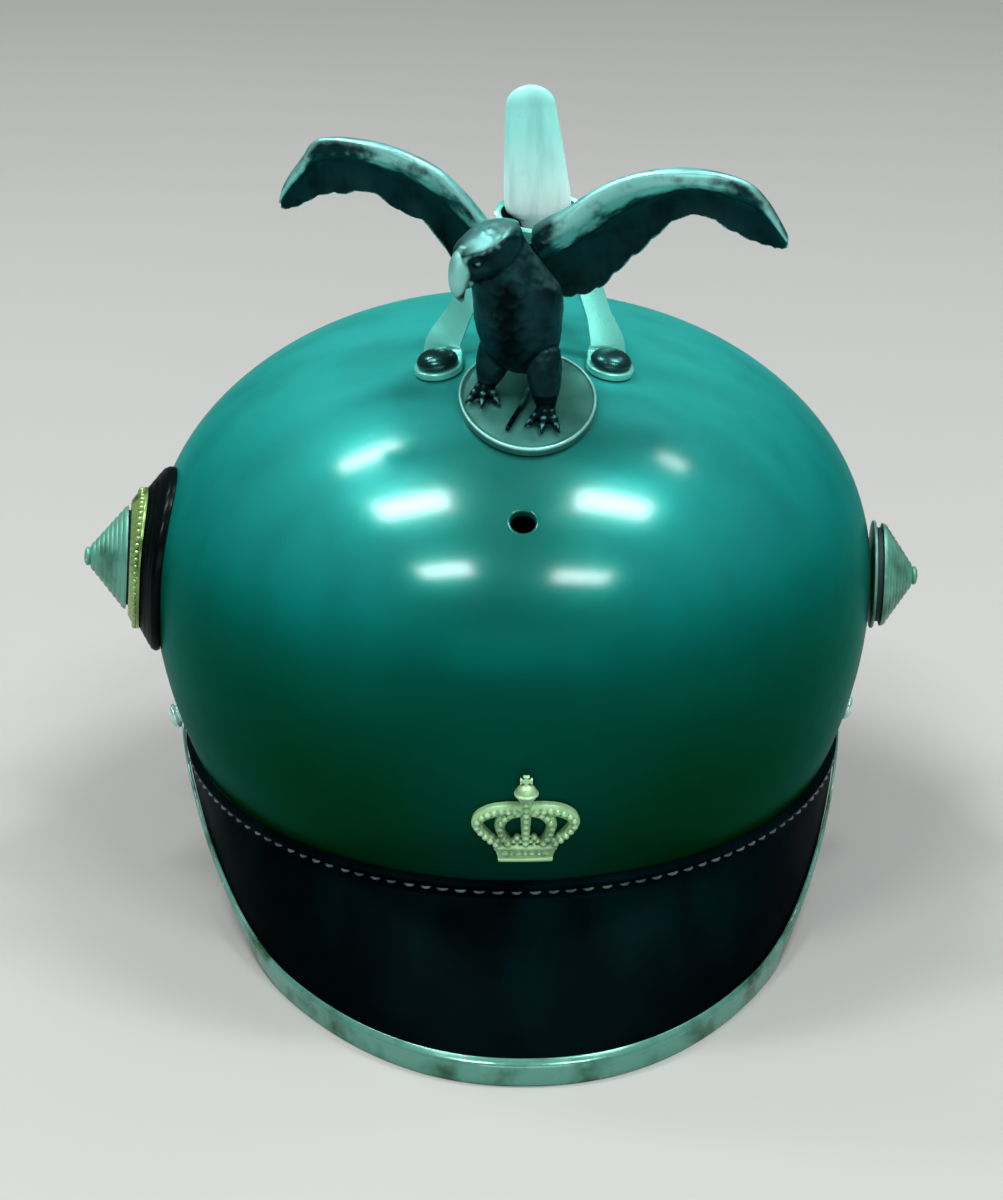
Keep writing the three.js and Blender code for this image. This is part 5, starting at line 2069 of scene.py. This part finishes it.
@dataclass
class Eagle(Drafted):
    """Cast eagle that stands on the plate with spread wings, its head turned to the viewer's left.

    Its own frame is across to the viewer's right, forward, and up from the middle of the plate.
    """

    across: float = 2.5
    forward: float = 58.0
    plate: float = 1.6
    yaw: float = math.radians(12.0)
    body: Rows = (
        (8, -1.2, -1, 4, 4), (13, -1.6, 0.2, 8.8, 7.8), (21, -2.1, 2, 10.9, 9.5),
        (30, -2.2, 3.5, 11.3, 9.2), (36, -5, 4.2, 10.2, 8.4), (41, -6.6, 5, 8.3, 7),
        (45, -7.4, 5.6, 6.8, 6.2), (48.2, -6.2, 4.6, 4.2, 4),
    )
    head_at: Spot = (-8.7, 9.2, 42.2)
    head_half: Spot = (9.8, 7.2, 6.6)
    head_turn: float = math.radians(50.0)
    head_bow: float = math.radians(26.0)
    beak: Rows = (
        (5, -1.2, 4), (7.6, -0.4, 3.7), (9.6, 1.4, 3.2), (11.2, 3.8, 2.5), (12, 6, 1.6),
        (12.1, 8.4, 0.5),
    )
    jaw: Rows = ((4.0, 2.8, 2.8), (7.0, 4.2, 2.1), (9.4, 6.0, 0.5))
    left_wing: Rows = (
        (4, 41.4, 3, 26, 5), (10, 45.5, 1, 34, 5), (16, 53, -0.4, 40, 4.8), (22, 59, -1.1, 38, 4.6),
        (29, 62.8, -1.4, 26, 4.2), (36, 65.2, -1.2, 24.6, 4), (43, 66.3, -0.7, 19.6, 3.7),
        (50, 66.5, 0.2, 21.1, 3.3), (55.5, 65.2, 1.3, 20.1, 3.1), (59, 60.6, 2.4, 16, 2.8),
        (62.2, 56.4, 3.6, 12.9, 2.6), (64.8, 52.2, 5.1, 8.5, 2.3), (66.2, 48.5, 6.4, 3.5, 1.9),
    )
    right_wing: Rows = (
        (1, 45, -1, 26, 7.5), (4, 47.2, -2, 28, 7.5), (10, 51, -3, 33, 7), (16, 55.4, -2.2, 36, 5.8),
        (22, 58.7, -1.6, 32.4, 4.8), (29, 61.1, -1.4, 26.8, 4.2), (36, 62.2, -1.2, 19.1, 4),
        (43, 62.2, -0.7, 16.8, 3.7), (50, 61.1, 0.2, 21, 3.3), (56, 58.6, 1.4, 21.7, 3),
        (60, 54.3, 2.8, 17.2, 2.7), (63, 49.1, 4.1, 10.6, 2.5), (65.2, 44.5, 5.3, 3.5, 2.2),
    )
    wing_tilt: float = math.radians(36.0)
    wing_camber: float = 0.1
    wing_spans: int = 220
    flight_feathers: int = 14
    arm_bulge: float = 1.5
    legs: tuple[Leg, ...] = (Leg((4.2, 3.0, 17.0), (6.7, 64.5)), Leg((-7.2, -1.0, 17.0), (-8.0, 54.3)))
    leg_radii: Rows = (
        (0, 2.4), (0.1, 3.9), (0.28, 4.5), (0.5, 4.3), (0.72, 3.6), (0.88, 2.8), (1, 2.1),
    )
    toes: Row = (-38.0, 0.0, 38.0, 180.0)
    toe_length: float = 5.6
    back_toe: float = 4.2
    tail: Rows = ((3, 22, 4.5, 3.4), (9, 18, 5.5, 2.4), (16, 14.5, 5.4, 1.6), (23, 12, 5.2, 1.1))
    stem: Rows = ((3.3, 49.7), (2.4, 55.6), (0.6, 61.2), (-3.2, 70.1))
    stem_radius: float = 0.7
    feather_depth: float = 0.36
    grain: float = 0.435

    def place(self, p: Array | Sequence[float]) -> Array:
        """Sets places of the eagle's own frame into the helmet's.

        Args:
            p: Places across, forward and up.

        Returns:
            The points of the helmet.
        """
        p = np.asarray(p, float)
        turned_x = p[..., 0] * math.cos(self.yaw) - p[..., 1] * math.sin(self.yaw)
        turned_y = -p[..., 0] * math.sin(self.yaw) - p[..., 1] * math.cos(self.yaw)
        ground = FORM.dome(0.0, self.forward)[2] + GAP + self.plate
        return np.stack([turned_x + self.across, turned_y - self.forward, p[..., 2] + ground], -1)

    def _body(self) -> None:
        """Adds the feathered body and neck."""
        rows = through(self.body, 96)
        turn = turns(120)
        up = rows[:, :1]
        scales = feather_scales((48 - up) / 3.1, turn * (13 / math.tau))
        lift = self.feather_depth * scales * smooth_step((up - 9) / 5)
        across = rows[:, 1:2] + (rows[:, 3:4] + lift) * np.sin(turn)
        forward = rows[:, 2:3] + (rows[:, 4:5] + lift) * np.cos(turn)
        self.draft.loft(self.place(np.stack([across, forward, up + 0 * turn], -1)))

    def _head_frame(self) -> tuple[Array, Array, Array, Array]:
        """Finds how the head lies.

        Returns:
            Its middle, and its directions along, to the side and over.
        """
        level = math.cos(self.head_bow)
        across, forward = -math.sin(self.head_turn) * level, math.cos(self.head_turn) * level
        along = self.place([across, forward, -math.sin(self.head_bow)]) - self.place([0, 0, 0])
        side = unit(np.cross(along, UP))
        return self.place(self.head_at), along, side, np.cross(side, along)

    def _head(self) -> None:
        """Adds the head with its brows, eyes and nape feathers."""
        centre, along, side, over = self._head_frame()
        axes = np.stack([along, side, over])
        half = np.array(self.head_half)
        sides = 84
        ball = np.roll(globe(61, sides), 1, -1)
        u, v, w = ball[..., 0], np.abs(ball[..., 1]), ball[..., 2]
        ledge = smooth_step((u + 0.75) / 0.5) * smooth_step((0.92 - u) / 0.2)
        brow = 0.8 * ledge * bell(w, 0.44, 0.2) * smooth_step((v - 0.25) / 0.4)
        cheek = 0.8 * ledge * bell(w, -0.12, 0.3) * smooth_step((v - 0.35) / 0.4)
        socket = 0.8 * bell(u, 0.56, 0.17) * bell(w, 0.1, 0.2) * smooth_step((v - 0.4) / 0.3)
        nape = feather_scales((1 - u) * 4.2, turns(sides) * (11 / math.tau))
        nape = self.feather_depth * nape * smooth_step((0.3 - u) / 0.35)
        shape = ball * half
        shape[..., 1] *= 1 - 0.3 * smooth_step((u - 0.35) / 0.65)
        shape[..., 2] *= 1 - 0.2 * np.clip(w, 0, 1) ** 2
        shape += unit(ball / half) * (brow - cheek - socket + nape)[..., None]
        self.draft.grid(centre + shape @ axes)
        for sign in (-1, 1):
            self.draft.ball(centre + np.array([5.4, sign * 4.3, 0.8]) @ axes, np.eye(3) * 1.2, 20, 13)

    def _beak(self) -> None:
        """Adds the hooked beak, its cere and the lower jaw."""
        centre, along, side, over = self._head_frame()
        for marks, sides, flat in ((self.beak, 28, 0.74), (self.jaw, 20, 0.85)):
            rows = through(marks, 32)
            path = centre + rows[:, :1] * along - rows[:, 1:2] * over
            lean = np.cross(unit(np.gradient(path, axis=0)), side)
            self.draft.bar(path, rows[:, 2], sides, flat, lean)
        cere = np.stack([along * 1.2, side * 3.5, over * 4.2])
        self.draft.ball(centre + along * 6.2 + over * 0.4, cere, 28, 15)

    def _wing_face(self, rows: Array, share: Array, run: Array, face: int) -> Array:
        """Points of one face of a wing.

        Args:
            rows: Across, up, back, chord and thickness at each span.
            share: Shares of the chord, from the leading edge.
            run: Length along the wing at each span.
            face: 1 for the front, -1 for the back.

        Returns:
            The points by span and share, in the eagle's own frame.
        """
        across, up, back, chord, thick = (rows[:, k : k + 1] for k in range(5))
        feather = (run / run[-1] * self.flight_feathers)[:, None]
        t = feather - np.floor(feather)
        blade = 0.5 * (1 - t) + 0.4 * bell(t, 0.5, 0.09) - 0.35 * bell(t, 0, 0.07)
        flight = smooth_step((share - 0.4) / 0.06)
        coverts = smooth_step((share - 0.07) / 0.1) * (1 - flight)
        scales = feather_scales(share * chord / 2.9, run[:, None] / 3.6)
        depth = self.feather_depth * (0.6 if face > 0 else 1.0) * np.clip(chord / 9, 0, 1)
        relief = depth * (0.9 * flight * blade + coverts * scales)
        scallop = 1 + 0.05 * (arch(2 * t - 1) - 0.75) * np.clip(chord / 12, 0, 1)
        down = chord * share * (1 + (scallop - 1) * share**3)
        nose = arch(np.clip(0.14 - share, 0, 1) / 0.14)
        blunt = arch(np.clip(share - 0.965, 0, 1) / 0.036)
        body = 0.95 - 0.4 * smooth_step((share - 0.36) / 0.1) - 0.22 * smooth_step((share - 0.5) / 0.5)
        arm = self.arm_bulge * bell(share, 0.2, 0.16) * np.clip(chord / 16, 0, 1) * (face > 0)
        half = (np.maximum(thick / 2 * body, 0.55) + arm) * nose * blunt
        hollow = -self.wing_camber * chord * 4 * share * (1 - share)
        out = hollow + face * (half + relief * blunt * nose)
        sine, cosine = math.sin(self.wing_tilt), math.cos(self.wing_tilt)
        forward = -back - down * sine + out * cosine
        return np.stack([across + 0 * share, forward, up - down * cosine - out * sine], -1)

    def _wing(self, sign: int) -> None:
        """Adds a wing with covert and flight feathers.

        Args:
            sign: -1 for the left wing, 1 for the right one.
        """
        rows = through(self.left_wing if sign < 0 else self.right_wing, self.wing_spans)
        run = run_along(rows[:, :3])
        share = 0.5 - 0.5 * np.cos(np.linspace(0, math.pi, 64))
        front = self._wing_face(rows, share, run, 1)
        back = self._wing_face(rows, share, run, -1)
        ring = np.concatenate([front, back[:, ::-1]], 1) * [sign, 1, 1]
        self.draft.loft(self.place(ring))

    def _leg(self, leg: Leg) -> None:
        """Adds a feathered thigh, the shank and the foot of a leg.

        Args:
            leg: Where the leg stands.
        """
        lift = 2 * GAP + self.plate
        hip = self.place(leg.hip)
        foot = FORM.dome(*leg.foot, lift + 2.3)
        share = np.linspace(0, 1, 72)
        radius = np.interp(share, *through(self.leg_radii, 60).T)
        path = hip + (foot - hip) * share[:, None]
        turn = turns(48)
        scales = feather_scales(share[:, None] * 7.5, turn * (9 / math.tau))
        scutes = 0.16 * np.abs(np.sin(share * 34))[:, None]
        worn = smooth_step((0.84 - share) / 0.08)[:, None]
        reach = radius[:, None] + self.feather_depth * 0.9 * worn * scales + (1 - worn) * scutes
        self.draft.loft(path[:, None] + reach[..., None] * wheel(turn, *square_to(unit(foot - hip))))
        self.draft.ball(foot - UP * 0.3, np.diag([2.2, 2.2, 1.9]), 20, 13)
        for angle in self.toes:
            self._toe(leg, angle, lift)

    def _toe(self, leg: Leg, angle: float, lift: float) -> None:
        """Adds a jointed toe with its claw, laid along the plate.

        Args:
            leg: Leg that the toe belongs to.
            angle: Direction of the toe in degrees, from the eagle's front.
            lift: Height of the plate's face over the dome.
        """
        heading = math.radians(angle) + self.yaw
        length = self.back_toe if abs(angle) > 90 else self.toe_length
        share = np.linspace(0, 1, 26)
        radius = (1.8 - 0.8 * share) * (1 + 0.12 * np.cos(share * 6 * math.pi))
        knuckle = 1.7 * np.sin(math.pi * share * 0.9) * (1 - share)
        across = leg.foot[0] - length * share * math.sin(heading)
        forward = leg.foot[1] + length * share * math.cos(heading)
        self.draft.bar(FORM.dome(across, forward, lift + radius + knuckle), radius, 16)
        reach = length + np.array([-0.6, 0.3, 1.1, 1.7])
        rise = np.array([0.9, 1.35, 1.0, 0.35])
        across = leg.foot[0] - reach * math.sin(heading)
        forward = leg.foot[1] + reach * math.cos(heading)
        claw = through(FORM.dome(across, forward, lift + rise), 12)
        self.draft.bar(claw, np.linspace(0.75, 0.34, 12), 12)

    def _tail(self) -> None:
        """Adds the fanned tail."""
        rows = through(self.tail, 44)
        turn = turns(112)
        spread = np.sin(turn)
        t = (spread * 3.5 + 3.5) % 1.0
        ridge = 0.35 * arch(2 * t - 1) * np.abs(np.cos(turn))
        ridge = ridge * smooth_step((rows[:, :1] - 4) / 6)
        thick = rows[:, 3:4] * np.cos(turn) + np.sign(np.cos(turn)) * ridge
        across = rows[:, 2:3] * spread
        forward = -rows[:, :1] + 0.4 * thick
        self.draft.loft(self.place(np.stack([across, forward, rows[:, 1:2] + thick], -1)))

    def _paint_light_and_shade(self, piece: Piece) -> None:
        """Paints light and shade into the stored relief: highlights on the wings' arms and the beak, and
        shade on the breast and feet.

        Args:
            piece: The casting, with its relief stored.
        """
        points = mesh_arrays(piece.data)[0] / MM - SEAT
        x, y = points[:, 0] - self.across, points[:, 1] + self.forward
        across = x * math.cos(self.yaw) - y * math.sin(self.yaw)
        forward = -x * math.sin(self.yaw) - y * math.cos(self.yaw)
        up = points[:, 2] - self.place([0.0, 0.0, 0.0])[2]
        # painted highlight: a lit band along each wing's arm, weaker on the left wing
        arm = np.zeros(len(points))
        for rows, sign, bright in ((self.left_wing, -1, 0.8), (self.right_wing, 1, 1.0)):
            out = sign * across
            lead, back, chord = (np.interp(out, *np.array(rows).T[[0, k]]) for k in (1, 2, 3))
            down = (lead - up) * math.cos(self.wing_tilt) - (back + forward) * math.sin(self.wing_tilt)
            held = smooth_step((out - 3) / 6) * (1 - 0.6 * smooth_step((out - 36) / 16))
            held = held * smooth_step((6 - forward) / 3)
            arm += bright * smooth_step((0.56 - down / chord) / 0.36) * held
        centre, along, aside, over = self._head_frame()
        ahead, beside, above = ((points - centre) @ way for way in (along, aside, over))
        # painted highlight on the beak; painted shade on the breast under the head and on the feet under
        # the body
        beak = smooth_step((ahead - 7.2) / 1.5) * smooth_step((above + 6.5) / 2.0)
        beak *= (ahead < 15) & (np.abs(beside) < 5) & (above < 6)
        breast = bell(across, -3.0, 5.0) * smooth_step((38 - up) / 6) * smooth_step((forward - 3) / 4)
        feet = smooth_step((5.5 - up) / 2)
        layer = piece.data.attributes[RELIEF].data
        values = np.empty(len(points), np.float32)
        layer.foreach_get("value", values)
        patchy = 0.5 + 0.5 * uneven(points, 9.0, 21)
        rubbed = np.clip(arm, 0, 1) * (0.3 + 0.7 * patchy)
        # painted light and shade go into the relief, so the bright colour and the patina carry them
        values += 0.52 * rubbed + 0.45 * beak - 0.3 * breast - 0.35 * feet
        layer.foreach_set("value", np.clip(values, 0, 1))

    def _stem(self) -> None:
        """Adds the thin curved stem that lies along the plate between the feet."""
        across, forward = through(self.stem, 40).T
        lift = 2 * GAP + self.plate + self.stem_radius
        self.draft.bar(FORM.dome(across, forward, lift), np.full(40, self.stem_radius), 14)

    def dress(self) -> None:
        """Builds the eagle as one casting and gives it its finish."""
        self._stem()
        self._body()
        self._head()
        self._beak()
        for sign in (-1, 1):
            self._wing(sign)
        for leg in self.legs:
            self._leg(leg)
        self._tail()
        piece = make_mesh("eagle_casting", self.draft)
        cast(piece, self.grain, 1)
        mark_relief(piece, 16, 0.42)
        self._paint_light_and_shade(piece)
        dress(piece, Slot.BRONZE, "eagle", [Finish.BRONZE], 75.0)


@dataclass(frozen=True)
class Panel:
    """Light panel: place, strength, size, tilt from facing down, and whether it shows in gloss."""

    x: float
    y: float
    watts: float
    size: Pair = (0.52, 0.22)
    z: float = 1.6
    tilt: float = 0.0
    mirrored: bool = True


@dataclass
class Stage:
    """Pale floor, light panels and the camera at the photograph's angle, in metres."""

    floor_half: float = 6.0
    panels: tuple[Panel, ...] = (
        Panel(-0.77, 0.82, 7.5, (0.44, 0.13)),
        Panel(0.98, 0.79, 2.2, (0.22, 0.15)),
        Panel(-0.63, 0.14, 13.0),
        Panel(0.63, 0.06, 13.0),
        Panel(-0.62, -0.77, 13.0),
        Panel(0.61, -0.92, 13.0),
        Panel(-1.5, 0.4, 27.0, (2.1, 2.7), 2.4, mirrored=False),
        Panel(1.5, 0.4, 27.0, (2.1, 2.7), 2.4, mirrored=False),
        Panel(0.0, -2.6, 18.0, (2.4, 1.2), 0.9, math.radians(90.0)),
    )
    world: Colour = tone(0.62, 0.65, 0.65)
    world_strength: float = 0.14
    target: Spot = (0.00265, 0.00775, 0.083)
    azimuth: float = math.radians(-1.8)
    elevation: float = math.radians(20.0)
    distance: float = 0.92308
    lens: float = 98.76
    shift: Pair = (-0.008, -0.0343)

    def _floor(self) -> None:
        """Makes the floor."""
        half = self.floor_half
        mesh = bpy.data.meshes.new("floor")
        corners = [(-half, -half, 0), (half, -half, 0), (half, half, 0), (-half, half, 0)]
        mesh.from_pydata(corners, [], [(0, 1, 2, 3)])
        mesh.materials.append(PaleFloor().material())
        stand("floor", mesh)

    def _lights(self) -> None:
        """Hangs the light panels and sets the soft light all round."""
        for panel in self.panels:
            light = bpy.data.lights.new("panel", "AREA")
            light.shape = "RECTANGLE"
            light.size, light.size_y = panel.size
            light.energy = panel.watts
            lamp = stand("panel", light)
            lamp.location = (panel.x, panel.y, panel.z)
            lamp.rotation_euler.x = panel.tilt
            lamp.visible_glossy = panel.mirrored
        world = bpy.data.worlds.new("studio")
        world.use_nodes = True
        sky = world.node_tree.nodes["Background"]
        sky.inputs["Color"].default_value = self.world
        sky.inputs["Strength"].default_value = self.world_strength
        bpy.context.scene.world = world
        bpy.context.scene.view_settings.view_transform = "Standard"

    def _camera(self) -> None:
        """Sets the camera."""
        level = math.cos(self.elevation)
        across, depth = math.sin(self.azimuth) * level, -math.cos(self.azimuth) * level
        back = Vector((across, depth, math.sin(self.elevation)))
        lens = bpy.data.cameras.new("photo_view")
        lens.lens = self.lens
        lens.shift_x, lens.shift_y = self.shift
        camera = stand("photo_view", lens)
        camera.location = Vector(self.target) + back * self.distance
        camera.rotation_euler = (-back).to_track_quat("-Z", "Y").to_euler()
        bpy.context.scene.camera = camera

    def build(self) -> None:
        """Sets up the floor, the lights and the camera."""
        self._floor()
        self._lights()
        self._camera()


def main() -> None:
    """Builds the stage and every piece of the helmet."""
    logging.basicConfig(level=logging.INFO, format="%(name)s: %(message)s")
    Stage().build()
    front = Peak("front_peak_leather", "front_peak", FRONT_PEAK)
    rear = Peak("rear_peak_leather", "rear_peak", REAR_PEAK)
    rosette = SideRosette()
    cockade = Cockade(rosette)
    metalwork = (PeakTrim(), CrownBadge(), EaglePlate(), Eagle(), PlumeBracket(), PlumeHolder())
    for assembly in (Skull(), front, rear, *metalwork, cockade):
        assembly.dress()
    for side in Side:
        rosette.dress(side, cockade.lift_of(side))
        SideStud().dress(side)


if __name__ == "__main__":
    main()
